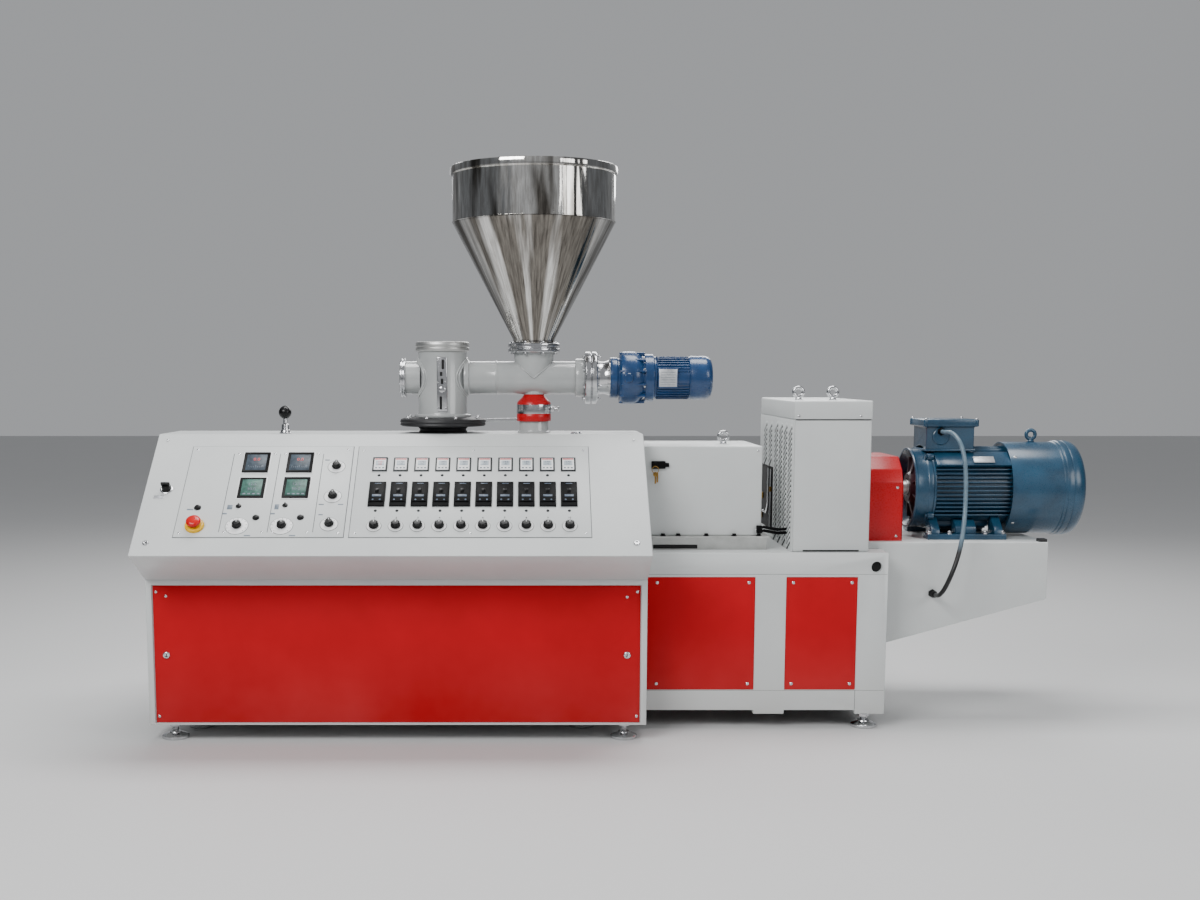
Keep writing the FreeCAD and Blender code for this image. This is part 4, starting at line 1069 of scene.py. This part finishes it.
class EXTRUDER_OT_drive_cover(bpy.types.Operator):
    """Tall drive cover with its lid, pressed louvres and rear door"""

    bl_idname = "extruder.drive_cover"
    bl_label = "Drive cover"

    def execute(self, context):
        recoat("drive_body", "drive_cover", "powder_grey", 7, 3)
        recoat("drive_lid", "drive_cover_lid", "powder_grey", 8, 3)
        # Painted shade: black strips for the unlit slot at the foot of the drive cover and the gap under its
        # lid.
        gaps = [block((782, -205.2, 790), (1030, -202, 797), 1.5),
                block((740, -205.5, 1368.6), (1069, -203.2, 1371.4), 0.3)]
        put("drive_slot", {"dark_gap": gaps})
        rear = [block((760, 689, 830), (1050, 692, 1340), 1.2)]
        rear.append(bar_along([(1030, 690, 1040), (1030, 716, 1040), (1030, 720, 1046), (1030, 720, 1134),
                               (1030, 716, 1140), (1030, 690, 1140)], 6))
        put("drive_rear_door", {"powder_grey": rear})
        hinges = [rod("Z", (758, 694, level), 6, 60, 0.8, 16) for level in (880, 1060, 1240)]
        put("drive_rear_hinges", {"bright_steel": hinges})
        self.louvres()
        spots = [(1023, -207, 1386), (752, -207, 1386)]
        put("drive_screws", {"bright_steel": screws("-Y", spots)})
        return {"FINISHED"}

    def louvres(self):
        """Rows of pressed hoods, and the oil pipes in the opening beside them."""
        sheet = blocks((((731, -204, 789), (735.5, 300, 1370)), ((731, 300, 1130), (735.5, 690, 1370)),
                        ((731, 640, 789), (735.5, 690, 1130)), ((731, 300, 789), (735.5, 640, 830))), 1)
        tilt = Matrix.Rotation(math.radians(-27), 4, "X")
        hood = sheet_of([(731.5, 0, 0), (727.2, 0, 4), (727.2, 0, 7), (731.5, 0, 20)], (0, 96, 0), 0.8)
        shade = block((729.7, 4, -9), (731.3, 92, 0.5), 0.3)
        places = []
        pitch = 23
        for y, low, high in ((-172, 808, 1362), (-52, 808, 1362), (68, 808, 1362), (188, 808, 1362),
                             (350, 1146, 1356), (490, 1146, 1356)):
            places += [shift((0, y, low + pitch * step + 24)) @ tilt
                       for step in range(int((high - low) / pitch) - 1)]
        put("drive_louvre_sheet", {"powder_grey": sheet + copies(hood, places)}, "drive_cover_louvres")
        put("louvre_slots", {"dark_gap": copies(shade, places)})
        # Painted shade: a black sheet behind the opening beside the louvres, for the unlit inside of the
        # cover.
        back = [block((733.2, 300, 830), (734.6, 640, 1130), 0.3)]
        put("drive_opening", {"dark_gap": back})
        fittings = [bar_along([(728.5, 350, 840), (728.5, 350, 1120)], 5),
                    hexagon("Z", (728.5, 350, 900), 12, 20),
                    bar_along([(728.5, 420, 1120), (728.5, 420, 950), (728.5, 470, 900), (728.5, 620, 900)],
                              5), hexagon("Z", (728.5, 420, 1040), 12, 22),
                    hexagon("Y", (728.5, 540, 900), 12, 22)]
        elbows = [hexagon("Z", (728.5, 600, 862), 14, 26), hexagon("Z", (728.5, 580, 960), 14, 30),
                  hexagon("Z", (728.5, 350, 1010), 14, 24)]
        put("drive_pipes", {"bright_steel": fittings, "brass": elbows})


class EXTRUDER_OT_bracket(bpy.types.Operator):
    """Motor bracket and the red coupling guard"""

    bl_idname = "extruder.bracket"
    bl_label = "Bracket and guard"

    def execute(self, context):
        recoat("bracket", "motor_bracket", "powder_grey", 4, 3)
        recoat("guard", "coupling_guard", "gloss_red", 6, 4, 20)
        put("bracket_stop", {"rubber_black": block((1868, -84, 817.6), (1906, -44, 832), 3)})
        spots = [(1100, -37, 840), (1236, -37, 840), (1100, -37, 1060), (1236, -37, 1060)]
        back = [(x, 481, z) for x, _, z in spots]
        heads = screws("-Y", spots, 6, 4) + screws("+Y", back, 6, 4)
        joint = [block((1262.3, -36, 817.6), (1263.2, -30, 1085), 0.2),
                 block((1076, -38.2, 818), (1262, -36.8, 826), 0.4)]
        put("guard_foot", {"gloss_red": joint})
        put("guard_screws", {"bright_steel": heads})
        return {"FINISHED"}


class EXTRUDER_OT_motor(bpy.types.Operator):
    """Main motor: end shield, finned frame, feet, cowl and terminal box"""

    bl_idname = "extruder.motor"
    bl_label = "Main motor"

    AXIS = MOTOR_AXIS

    def lathe(self, left, profile, edge=0.0, steps=72, angle=30):
        """A shape turned on the motor's axis."""
        return turned("X", (left, *self.AXIS), profile, edge, steps, angle)

    def execute(self, context):
        self.shield()
        self.body()
        self.cowl()
        self.box()
        return {"FINISHED"}

    def shield(self):
        """Front end shield, shaft and lifting lugs."""
        y, z = self.AXIS
        rim = self.lathe(1340, [(0, 176), (0, 186), (10, 186), (14, 183), (60, 183), (64, 186), (85, 186),
                                (85, 150), (40, 150), (18, 168), (0, 176)], 1.2)
        hub = self.lathe(1340, [(40, 152), (34, 120), (22, 78), (6, 66), (6, 44), (16, 40), (16, 0)], 0, 64)
        shaft = self.lathe(1262, [(0, 0), (0, 30), (78, 30), (78, 36), (96, 36), (96, 0)], 1, 40)
        rib = sheet_of([(1352, y - 4, z + 60), (1352, y - 4, z + 66), (1366, y - 4, z + 150),
                        (1384, y - 4, z + 150), (1384, y - 4, z + 60)], (0, 8, 0), 1)
        ribs = circled(rib, "X", (0, y, z), 8)
        lugs = []
        for spot in around(4, 190, (y, z), 38 / 90):
            lugs.append(rod("X", (1404, *spot), 17, 28, 2))
            lugs.append(hexagon("X", (1394, *spot), 17, 10))
        put("end_shield", {"motor_blue": [rim, *lugs], "shield_painted_shade": [hub, *ribs],
                           "machined_steel": shaft}, "motor_end_bell")

    def body(self):
        """Finned frame with its feet, bolts and rating plate."""
        y, z = self.AXIS
        core = self.lathe(1425, [(0, 0), (0, 176), (356, 176), (356, 0)], 0, 72)
        collar = self.lathe(1425, [(0, 170), (0, 190), (10, 190), (14, 176), (14, 170)], 1)
        fins = []
        pitch = settings().fin_pitch / MM
        half = settings().fin_thickness / MM / 2
        for step in range(-7, 8):
            level = step * pitch
            if level < -126 or level > 112:
                continue
            inner = math.sqrt(176 ** 2 - level ** 2) - 6
            outer = math.sqrt(197 ** 2 - level ** 2) - 0.5
            for side in (-1, 1):
                low, high = sorted((y + side * inner, y + side * outer))
                fins.append(block((1436, low, z + level - half), (1779, high, z + level + half), 1.2))
        for step in range(-4, 5):
            across = step * 30
            inner = math.sqrt(176 ** 2 - across ** 2) - 6
            if abs(across) > 100:
                continue
            for side in (-1, 1):
                outer = math.sqrt(194 ** 2 - across ** 2)
                low, high = sorted((z + side * inner, z + side * outer))
                fins.append(block((1640 if side > 0 else 1470, y + across - half, low),
                                  (1779 if side > 0 else 1700, y + across + half, high), 1.2))
        pad = sheet_of([(1436, y - 178, z + 116), (1436, y - 150, z + 140), (1436, y - 96, z + 172),
                        (1436, y - 80, z + 160), (1436, y - 140, z + 96)], (343, 0, 0), 3, 3)
        feet = []
        for side in (-1, 1):
            outer = y + side * 217.5
            inner = y + side * 137.5
            low, high = sorted((outer, inner))
            feet.append(block((1392, low, 818), (1752, high, 842), 3, 3))
            for x in (1412, 1700):
                legs = [(100, 841), (206, 841), (200, 862), (158, 896), (120, 930), (96, 912)]
                wall = sheet_of([(x, y + side * out, level) for out, level in legs], (40, 0, 0), 4, 3)
                feet.append(wall)
            middle = sheet_of([(1530, y + side * out, level) for out,
                               level in ((100, 841), (176, 841), (172, 872), (140, 900), (104, 904))],
                              (96, 0, 0), 5, 3)
            feet.append(middle)
        bolts = []
        for side in (-1, 1):
            for x in (1404, 1496, 1660, 1740):
                spot = (x, y + side * 196, 842)
                bolts.append(rod("Z", spot, 14, 3, 0.4))
                bolts.append(hexagon("Z", (spot[0], spot[1], 845), 19, 11))
        put("motor_body", {"motor_blue": [core, collar, *fins, pad, *feet]}, "motor_frame")
        put("motor_bolts", {"bright_steel": bolts})
        put("motor_plate", {"aluminium_plate": sheet_of([(1606, y - 172.5, z + 127),
                                                         (1700, y - 172.5, z + 127),
                                                         (1700, y - 143, z + 152),
                                                         (1606, y - 143, z + 152)], (0, -1.6, 2.0), 0.5)},
            slot="bright_steel")

    def cowl(self):
        """Fan cowl with its grille and screws."""
        shell = self.lathe(1781, [(0, 0), (0, 205), (-6, 208), (-6, 214), (229, 214), (232, 217.5),
                                  (244, 217.5), (247, 221), (270, 221), (271, 219.6), (273, 219.6),
                                  (274, 221), (290, 221), (308, 217), (322, 208), (331, 195), (334, 180),
                                  (334, 174), (326, 170), (326, 0)], 0.6, 96)
        put("motor_cowl", {"motor_blue": shell}, "motor_fan_cowl")
        rings = []
        for radius in (42, 68, 94, 120, 146, 168):
            rings.append(self.lathe(2106, [(0, radius - 3), (4, radius - 4), (8, radius), (4, radius + 4),
                                           (0, radius + 3), (0, radius - 3)], 0, 64, 60))
        y, z = self.AXIS
        for near, far in zip(around(8, 24, (y, z), 0), around(8, 176, (y, z), 0)):
            rings.append(bar_along([(2108, *near), (2108, *far)], 3))
        rings.append(self.lathe(2106, [(0, 0), (0, 30), (6, 30), (8, 26), (8, 0)], 0.4, 40))
        put("cowl_grille", {"motor_blue": rings})
        # Painted shade: a black disc behind the grille for the unlit inside of the cowl.
        put("cowl_dark", {"dark_gap": self.lathe(2107.4, [(0, 0), (0, 170), (0.6, 170), (0.6, 0)], 0, 64)})
        spots = []
        for step in range(4):
            angle = math.radians(45 + 90 * step)
            spots.append(shift((1798, y + 213.5 * math.cos(angle), z + 213.5 * math.sin(angle)))
                         @ Matrix.Rotation(angle - math.pi / 2, 4, "X"))
        put("cowl_screws", {"bright_steel": copies(screw_head(7, 4), spots)})

    def box(self):
        """Terminal box with its trim."""
        recoat("terminal_case", "terminal_box", "motor_blue", 5, 3)
        boss = turned("Y", (1466, 112, 1306 - 22), [(0, 0), (0, 40), (-4, 40), (-8, 34), (-8, 0)], 1, 40)
        base = block((1394, 106, 1216), (1626, 338, 1226), 3)
        ears = []
        for x in (1394, 1626):
            for y in (106, 338):
                ears.append(rod("Z", (x, y, 1330), 11, 30, 1.5))
        put("terminal_trim", {"motor_blue": [boss, base, *ears]})
        bolts = []
        for x in (1394, 1626):
            for y in (106, 338):
                bolts.append(hexagon("Z", (x, y, 1360), 13, 7))
        put("terminal_bolts", {"bright_steel": bolts})


class EXTRUDER_OT_eyes(bpy.types.Operator):
    """Forged lifting eyes on the motor and covers"""

    bl_idname = "extruder.eyes"
    bl_label = "Lifting eyes"

    def execute(self, context):
        pieces = []
        blue = []
        for x, y, z in ((1917, 222, 1254), (466, 110, 1250), (790, 20, 1453), (945, 20, 1453)):
            collar = turned("Z", (x, y, z), [(0, 0), (0, 16), (4, 16), (8, 13), (12, 8), (16, 6), (16, 0)],
                            0.4, 32)
            clear()
            bpy.ops.mesh.primitive_torus_add(location=Vector((x, y, z + 34)) * MM,
                                             rotation=(math.pi / 2, 0, 0), major_radius=20.5 * MM,
                                             minor_radius=8.4 * MM, major_segments=40, minor_segments=16)
            loop = seat(bpy.context.object, Matrix.Identity(4))
            bpy.ops.object.shade_smooth()
            (blue if x == 1917 else pieces).extend([collar, loop])
        put("eyes", {"bright_steel": pieces, "motor_blue": blue}, "lifting_eyes")
        return {"FINISHED"}


class EXTRUDER_OT_conduit(bpy.types.Operator):
    """Flexible conduit from the terminal box to the bracket, with its glands"""

    bl_idname = "extruder.conduit"
    bl_label = "Motor conduit"

    ROUTE = ((1466, 86, 1306), (1466, 36, 1306), (1477, -20, 1308), (1493, -74, 1280), (1506, -112, 1224),
             (1512, -134, 1146), (1511, -148, 1060), (1505, -168, 972), (1492, -196, 888), (1472, -228, 812),
             (1446, -254, 742), (1420, -262, 678), (1402, -242, 624), (1394, -198, 592), (1393, -152, 586),
             (1393, -118, 586))

    def execute(self, context):
        diameter = settings().conduit_diameter
        piece, spline = curve_through("conduit", "NURBS", self.ROUTE, diameter / 2 / MM, 5)
        piece.data.resolution_u = 12
        spline.order_u = 3
        spline.use_endpoint_u = True
        piece.data.materials.append(material("conduit_plastic"))
        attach(piece, STILL)
        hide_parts("motor_conduit")
        nuts = [hexagon("Y", (1393, -104, 586), 34, 12), hexagon("Y", (1466, 100, 1306), 34, 12)]
        sleeves = []
        for x, y, z in ((1393, -92, 586), (1466, 112, 1306)):
            sleeves.append(turned("Y", (x, y, z), [(-12, 0), (-12, 17), (-20, 16), (-26, 13), (-26, 0)],
                                  0.8, 32))
        boot = turned("Y", (1393, -118, 586), [(0, 15), (-6, 15.5), (-24, 12.5), (-30, 10.4), (-30, 9),
                                               (0, 9), (0, 15)], 0.5, 28)
        trim = put("conduit_glands_trim", {"plastic_black": nuts + sleeves + [boot]}, "conduit_glands")
        return {"FINISHED"}


class EXTRUDER_OT_feeder(bpy.types.Operator):
    """Feed column, feeder tube, flanges, gearbox, motor and support post"""

    bl_idname = "extruder.feeder"
    bl_label = "Feeder"

    AXIS = FEED_AXIS

    def lathe(self, left, profile, edge=0.0, steps=64, angle=30):
        """A shape turned on the feeder's axis."""
        return turned("X", (left, *self.AXIS), profile, edge, steps, angle)

    def execute(self, context):
        self.column()
        self.tube()
        self.flanges()
        self.gearbox()
        self.post()
        return {"FINISHED"}

    def column(self):
        """Feed column with its rings, sight window and seal."""
        x, y = COLUMN_AXIS
        shell = turned("Z", (x, y, 0), [(1377, 0), (1377, 128), (1386, 128), (1389, 125), (1389, 112),
                                        (1394, 110), (1668, 110), (1700, 110), (1700, 0)], 0.5, 72)
        put("column_ring", {"machined_steel": turned("Z", (x, y, 0),
                                                     [(1666, 109), (1668, 113), (1670, 119), (1674, 121),
                                                      (1684, 121), (1686, 118), (1690, 118), (1692, 121),
                                                      (1704, 121), (1710, 118), (1712, 112), (1712, 100),
                                                      (1704, 96), (1704, 0), (1690, 0), (1690, 109),
                                                      (1666, 109)], 0.5, 72)}, slot="grey_paint")
        parts = [shell]
        for side in (-1, 1):
            for radius, bead in ((80, 6), (88, 4)):
                line = [(x + side * (math.sqrt(110 ** 2 - across ** 2) + 1), y + across, FEED_AXIS[1] + up)
                        for across, up in around(48, radius, phase=0)]
                parts.append(bar_along(line, bead, closed=True))
        put("column", {"pipe_grey": parts}, "feed_column")
        strip = [block((x - 20, y - 112.5, 1400), (x + 26, y - 104, 1644), 5, 3)]
        for level in (1418, 1532, 1626):
            for across in (-14, 20):
                strip += screws("-Y", [(x + across, y - 112.5, level)], 4, 3)
        strip.append(turned("Y", (x + 4, y - 112, 1500), [(0, 0), (-4, 15), (-8, 15), (-10, 11), (-10, 0)],
                            0.5, 28))
        put("sight_frame", {"bright_steel": strip})
        dark = []
        for left, low, high in ((-8, 1412, 1470), (-2, 1524, 1548), (-6, 1560, 1578), (2, 1590, 1632)):
            dark.append(block((x + left, y - 114, low), (x + left + 11, y - 111.5, high), 1.5))
        put("sight_glass", {"dark_gap": dark})
        put("seal", {"rubber_black": turned("Z", (x, y, 0),
                                            [(1306, 0), (1306, 109), (1312, 109), (1316, 104), (1322, 104),
                                             (1326, 109), (1332, 112), (1334, 150), (1336, 186),
                                             (1342, 194), (1350, 190), (1356, 194), (1366, 190),
                                             (1371, 178), (1374, 150), (1377, 140), (1377, 0)], 0.8, 72)},
            "feed_column_seal")
        clips = []
        for spot in around(8, 168, (x, y)):
            clips.append(turned("Z", (*spot, 1371),
                                [(0, 0), (0, 11), (3, 11), (3, 7), (10, 7), (11, 5), (11, 0)], 0.4, 20))
        put("seal_clips", {"bright_steel": [*clips, bar_along([(x + 186, y - 4, 1360),
                                                               (x + 230, y - 4, 1362), (-482, y - 4, 1364)],
                                                              7)]})

    def tube(self):
        """Feeder tube, the tee under the hopper and its weld beads."""
        y, z = self.AXIS
        hopper = HOPPER_AXIS[0]
        left = self.lathe(-980, [(0, 0), (0, 74), (66, 74), (66, 0)], 0, 72)
        middle = self.lathe(-718, [(0, 0), (0, 80), (6, 81), (20, 81), (24, 74), (140, 74), (142, 76.5),
                                   (148, 76.5), (150, 74), (499, 74), (499, 0)], 0.5, 72)
        tee = turned("Z", (hopper, y, 0), [(1548, 76), (1575, 77), (1600, 80), (1630, 88), (1645, 90),
                                           (1664, 90)], 0, 72)
        slope = math.atan2(74, 90)
        for side in (-1, 1):
            choose(tee)
            bpy.ops.object.mode_set(mode="EDIT")
            bpy.ops.mesh.select_all(action="SELECT")
            bpy.ops.mesh.bisect(plane_co=Vector((hopper, y, z)) * MM,
                                plane_no=(side * math.sin(slope), 0, -math.cos(slope)), clear_outer=True)
            clear()
        soft_edges(tee, 0)
        beads = []
        for face in (-1, 1):
            line = []
            for step in range(-12, 13):
                share = step / 12
                radius = 77 + 8 * abs(share) ** 2
                across = share * 74
                depth = math.sqrt(max(radius ** 2 - across ** 2, 0))
                line.append((hopper + across, y + face * (depth + 0.5), z + abs(across) * math.tan(slope)))
            beads.append(bar_along(line, 3.4))
        low = turned("Z", (hopper, y, 0), [(1477, 44), (1479, 47), (1484, 47), (1488, 44), (1500, 46),
                                           (1512, 52), (1530, 60)], 0.4, 56)
        parts = [left, middle, tee, *beads, low]
        put("tube", {"pipe_grey": parts}, "feeder_tube")

    def flanges(self):
        """End cap, collar and bolted flanges of the tube."""
        y, z = self.AXIS
        end = self.lathe(-1004, [(0, 0), (0, 80), (3, 86), (9, 86), (11, 82), (14, 82), (16, 86), (22, 86),
                                 (24, 80), (24, 0)], 0.6)
        pins = [hexagon("X", (-1008, *spot), 12, 5, 0.5) for spot in around(8, 66, (y, z))]
        collar = self.lathe(-219, [(0, 74), (2, 84), (6, 86), (36, 86), (40, 84), (42, 80)], 0.5)
        first = self.lathe(-177, [(0, 80), (0, 112), (5, 117), (24, 117), (28, 113), (28, 106), (31, 106),
                                  (31, 113), (34, 117), (51, 117), (56, 112), (56, 80)], 0.5, 72)
        neck = self.lathe(-121, [(0, 80), (4, 80), (8, 74), (30, 72), (46, 76), (52, 80), (58, 80)], 0.4)
        bolts = []
        for spot in around(8, 100, (y, z)):
            bolts += [hexagon("X", (-186, *spot), 17, 9), hexagon("X", (-121, *spot), 17, 10)]
            bolts.append(turned("X", (-121, *spot), [(0, 0), (0, 5), (16, 5), (17, 4), (17, 0)], 0.3, 16))
        put("tube_flanges", {"pipe_grey": collar, "bright_steel": [end, first, neck, *pins, *bolts]},
            "feeder_flanges", "machined_steel")

    def gearbox(self):
        """Feeder gearbox, its motor and rating plate."""
        y, z = self.AXIS
        ring = self.lathe(-63, [(0, 0), (0, 88), (4, 92), (30, 92), (34, 88), (40, 88)], 0.6)
        bulge = self.lathe(-23, [(0, 88), (2, 104), (10, 114), (24, 118), (66, 118), (84, 114), (98, 102),
                                 (108, 96), (116, 96), (116, 106), (120, 106), (152, 106), (156, 102),
                                 (156, 0)], 0.8, 72)
        rib = block((-20, y - 4, z + 100), (92, y + 4, z + 117.5), 2.5)
        ribs = circled(rib, "X", (0, y, z), 12)
        plugs = [turned("Y", (14, -96, 1551), [(4, 22), (-2, 22), (-6, 18), (-6, 0)], 1, 32)]
        bolts = []
        for right, left in zip(around(8, 92, (y, z)), around(8, 80, (y, z))):
            bolts += [hexagon("X", (84, *right), 15, 9), hexagon("X", (-69, *left), 13, 7)]
        put("feed_gearbox", {"feeder_blue": [ring, bulge, *ribs, *plugs]}, "feeder_gearbox")
        put("feed_gearbox_bolts", {"bright_steel": bolts})
        body = self.lathe(133, [(0, 0), (0, 96), (8, 96), (12, 90), (155, 90), (159, 96), (167, 96),
                                (167, 0)], 0.5)
        fin = block((146, y - 1.6, z + 86), (288, y + 1.6, z + 96), 0.9)
        # The rating plate stands where three fins are left out.
        fins = circled(fin, "X", (0, y, z), 40, 0, gaps=(9, 10, 11))
        cap = self.lathe(300, [(0, 0), (0, 94), (-4, 94), (-4, 98), (62, 98), (78, 93), (90, 82), (95, 68),
                               (95, 0)], 0.6, 72, 40)
        strap = self.lathe(300, [(20, 98), (20, 98.2), (24, 98.2), (24, 98)], 0)
        put("feed_motor", {"feeder_blue": [body, *fins, cap, strap]}, "feeder_motor")
        plate = block((151, -79, 1512), (231, -75.6, 1590), 1.2)
        put("feed_plate_seat", {"feeder_blue": block((147, -77, 1508), (235, -60, 1594), 2)})
        lines = [block((158, -79.5, 1520 + 11 * step), (224, -78.7, 1521.4 + 11 * step), 0.1)
                 for step in range(6)]
        put("feed_plate", {"aluminium_plate": plate, "figure_slate": lines}, slot="bright_steel")

    def post(self):
        """Support post with its clamp and band."""
        x, y = HOPPER_AXIS
        put("post", {"pipe_grey": turned("Z", (x, y, 0), [(1306, 0), (1306, 74), (1311, 74), (1313, 67),
                                                          (1317, 66), (1426, 66), (1426, 0)], 0.5, 56)},
            "feeder_support_post")
        put("clamp", {"gloss_red": turned("Z", (x, y, 0), [(1357, 66.5), (1357, 75), (1360, 77), (1388, 77),
                                                           (1391, 75), (1433, 75), (1436, 77), (1444, 74),
                                                           (1454, 64), (1464, 53), (1477, 45), (1477, 20),
                                                           (1440, 20), (1427, 66.5), (1357, 66.5)], 0.6, 56,
                                          40)}, "post_clamp")
        band = turned("Z", (x, y, 0), [(1392, 75), (1392, 77.6), (1394, 78), (1411, 78), (1412, 76.4),
                                       (1413, 78), (1430, 78), (1432, 77.6), (1432, 75), (1392, 75)], 0, 56)
        bolt = [block((x + 72, y - 14, 1400), (x + 94, y + 14, 1424), 3),
                hexagon("Y", (x + 84, y - 26, 1412), 17, 12),
                rod("Y", (x + 84, y - 36, 1412), 5, 70, 0.4, 16),
                turned("X", (x + 94, y, 1412), [(0, 0), (0, 8), (8, 8), (10, 11), (20, 11), (22, 8),
                                                (22, 0)], 0.6, 24)]
        put("band", {"bright_steel": [band, *bolt]}, "clamp_band")


class EXTRUDER_OT_hopper(bpy.types.Operator):
    """Polished hopper with its rolled rim, seams and bolted flange"""

    bl_idname = "extruder.hopper"
    bl_label = "Hopper"

    def execute(self, context):
        x, y = HOPPER_AXIS
        wall = [(1709, 91), (1709, 94), (1723, 94), (2228, 359.6), (2235, 362), (2242, 362), (2430, 362),
                (2438, 362), (2440, 366), (2442, 369.5), (2447, 371), (2467, 371), (2472, 369.5),
                (2474, 366), (2472, 362.4), (2468, 360.4), (2440, 359), (2236, 359), (2229, 356.6),
                (1723.4, 91), (1709, 91)]
        shell = turned("Z", (x, y, 0), wall, 0, 128, 30)
        ring = turned("Z", (x, y, 0), [(2233.5, 361), (2235, 364), (2238, 364), (2239.5, 361)], 0, 128)
        seams = [ring]
        for angle in (math.radians(-68), math.radians(112)):
            out = Vector((math.cos(angle), math.sin(angle), 0))
            line = [Vector((x, y, 1724)) + out * 94.4, Vector((x, y, 2230)) + out * 360.4]
            high = [Vector((x, y, 2240)) + out * 362.2, Vector((x, y, 2438)) + out * 362.2]
            seams += [bar_along(line, 1.3), bar_along(high, 1.3)]
        put("hopper_shell", {"polished_sheet": [shell, *seams]}, "hopper")
        flange = turned("Z", (x, y, 0), [(1664, 71), (1664, 112), (1668, 117), (1680, 117), (1683, 113),
                                         (1683, 108), (1687, 108), (1687, 113), (1690, 117), (1702, 117),
                                         (1706, 113), (1709, 104), (1709, 71), (1664, 71)], 0.5, 72)
        bolts = []
        for spot in around(8, 104, (x, y)):
            bolts += [hexagon("Z", (*spot, 1704), 15, 9), hexagon("Z", (*spot, 1656), 15, 9)]
        put("hopper_ring", {"bright_steel": [flange, *bolts]}, "hopper_flange", "machined_steel")
        return {"FINISHED"}


class EXTRUDER_OT_stage(bpy.types.Operator):
    """Pale floor, soft studio lights and the camera"""

    bl_idname = "extruder.stage"
    bl_label = "Stage"

    def execute(self, context):
        clear()
        bpy.ops.mesh.primitive_plane_add(size=60, location=(0, 0, 0))
        floor = seat(context.object, Matrix.Identity(4))
        floor.name = "floor"
        paint = bpy.data.materials.new("studio_floor")
        tree = empty_tree(paint)
        where = add(tree, "ShaderNodeTexCoord").outputs["Object"]
        cloud = add(tree, "ShaderNodeTexNoise", Vector=where, Scale=1.3, Detail=3.0).outputs["Fac"]
        gloss = add(tree, "ShaderNodeMapRange", Value=cloud, To_Min=0.55, To_Max=0.7).outputs[0]
        skin = add(tree, "ShaderNodeBsdfPrincipled", Base_Color=tuple(settings().floor_colour),
                   Roughness=gloss)
        add(tree, "ShaderNodeOutputMaterial", Surface=skin.outputs[0])
        floor.data.materials.append(paint)
        self.world(context)
        self.lamp("key_light", (-3.6, -5.2, 5.2), (0.0, 0.0, 1.0), (3.6, 2.6), 380)
        self.lamp("fill_light", (4.6, -4.2, 3.4), (0.4, 0.0, 0.9), (3.0, 2.6), 105)
        self.lamp("top_light", (0.0, 0.6, 6.2), (0.0, 0.0, 0.6), (5.0, 2.4), 380)
        self.lamp("back_light", (0.6, 6.0, 4.2), (0.0, 0.0, 0.9), (4.4, 2.4), 180)
        camera = bpy.data.cameras.new("camera")
        camera.lens = 42.67
        camera.sensor_width = 36
        camera.shift_x = 0.0588
        camera.shift_y = 0.0821
        camera.clip_end = 200
        eye = bpy.data.objects.new("camera", camera)
        context.scene.collection.objects.link(eye)
        eye.location = (-0.425, -6.4406, 1.5677)
        eye.rotation_euler = (math.radians(90 - 6.988), 0, 0)
        context.scene.camera = eye
        return {"FINISHED"}

    def world(self, context):
        """Soft room light, paler in front and behind than at the sides so that metal shows its shape."""
        world = bpy.data.worlds.new("studio")
        context.scene.world = world
        tree = empty_tree(world)
        where = add(tree, "ShaderNodeTexCoord").outputs["Generated"]
        parts = add(tree, "ShaderNodeSeparateXYZ", Vector=where)
        side = add(tree, "ShaderNodeMath", {"operation": "ABSOLUTE"}, at0=parts.outputs["X"]).outputs[0]
        shade = add(tree, "ShaderNodeMapRange", {"interpolation_type": "SMOOTHSTEP"}, Value=side,
                    From_Min=0.35, From_Max=0.9, To_Min=0.0, To_Max=1.0).outputs[0]
        colour = add(tree, "ShaderNodeMix", {"data_type": "RGBA"}, at0=shade, at6=linear("#dfe1e4"),
                     at7=linear("#85888c")).outputs[2]
        light = add(tree, "ShaderNodeBackground", Color=colour, Strength=0.5)
        add(tree, "ShaderNodeOutputWorld", Surface=light.outputs[0])

    def lamp(self, name, place, target, size, power):
        """An area light that looks at a target."""
        data = bpy.data.lights.new(name, "AREA")
        data.shape = "RECTANGLE"
        data.size, data.size_y = size
        data.energy = power
        lamp = bpy.data.objects.new(name, data)
        bpy.context.scene.collection.objects.link(lamp)
        lamp.location = place
        lamp.rotation_euler = (Vector(target) - Vector(place)).to_track_quat("-Z", "Y").to_euler()


PIECES = (
    EXTRUDER_OT_stage, EXTRUDER_OT_conduit, EXTRUDER_OT_base_frame, EXTRUDER_OT_feet, EXTRUDER_OT_cabinet,
    EXTRUDER_OT_desk, EXTRUDER_OT_instruments, EXTRUDER_OT_knobs, EXTRUDER_OT_stop, EXTRUDER_OT_barrel,
    EXTRUDER_OT_gearbox, EXTRUDER_OT_drive_cover, EXTRUDER_OT_bracket, EXTRUDER_OT_motor, EXTRUDER_OT_eyes,
    EXTRUDER_OT_feeder, EXTRUDER_OT_hopper)


class EXTRUDER_PT_panel(bpy.types.Panel):
    """Lists the pieces in the sidebar"""

    bl_idname = "EXTRUDER_PT_panel"
    bl_label = "Extruder"
    bl_space_type = "VIEW_3D"
    bl_region_type = "UI"
    bl_category = "Extruder"

    def draw(self, context):
        layout = self.layout
        for name in ExtruderSettings.__annotations__:
            layout.prop(context.scene.extruder, name)
        for piece in PIECES:
            layout.operator(piece.bl_idname)


def register():
    for made in (ExtruderSettings, *PIECES, EXTRUDER_PT_panel):
        bpy.utils.register_class(made)
    bpy.types.Scene.extruder = bpy.props.PointerProperty(type=ExtruderSettings)


def unregister():
    del bpy.types.Scene.extruder
    for made in reversed((ExtruderSettings, *PIECES, EXTRUDER_PT_panel)):
        bpy.utils.unregister_class(made)


def main():
    register()
    for piece in PIECES:
        group, name = piece.bl_idname.split(".")
        getattr(getattr(bpy.ops, group), name)()
    clear()


if __name__ == "__main__":
    main()
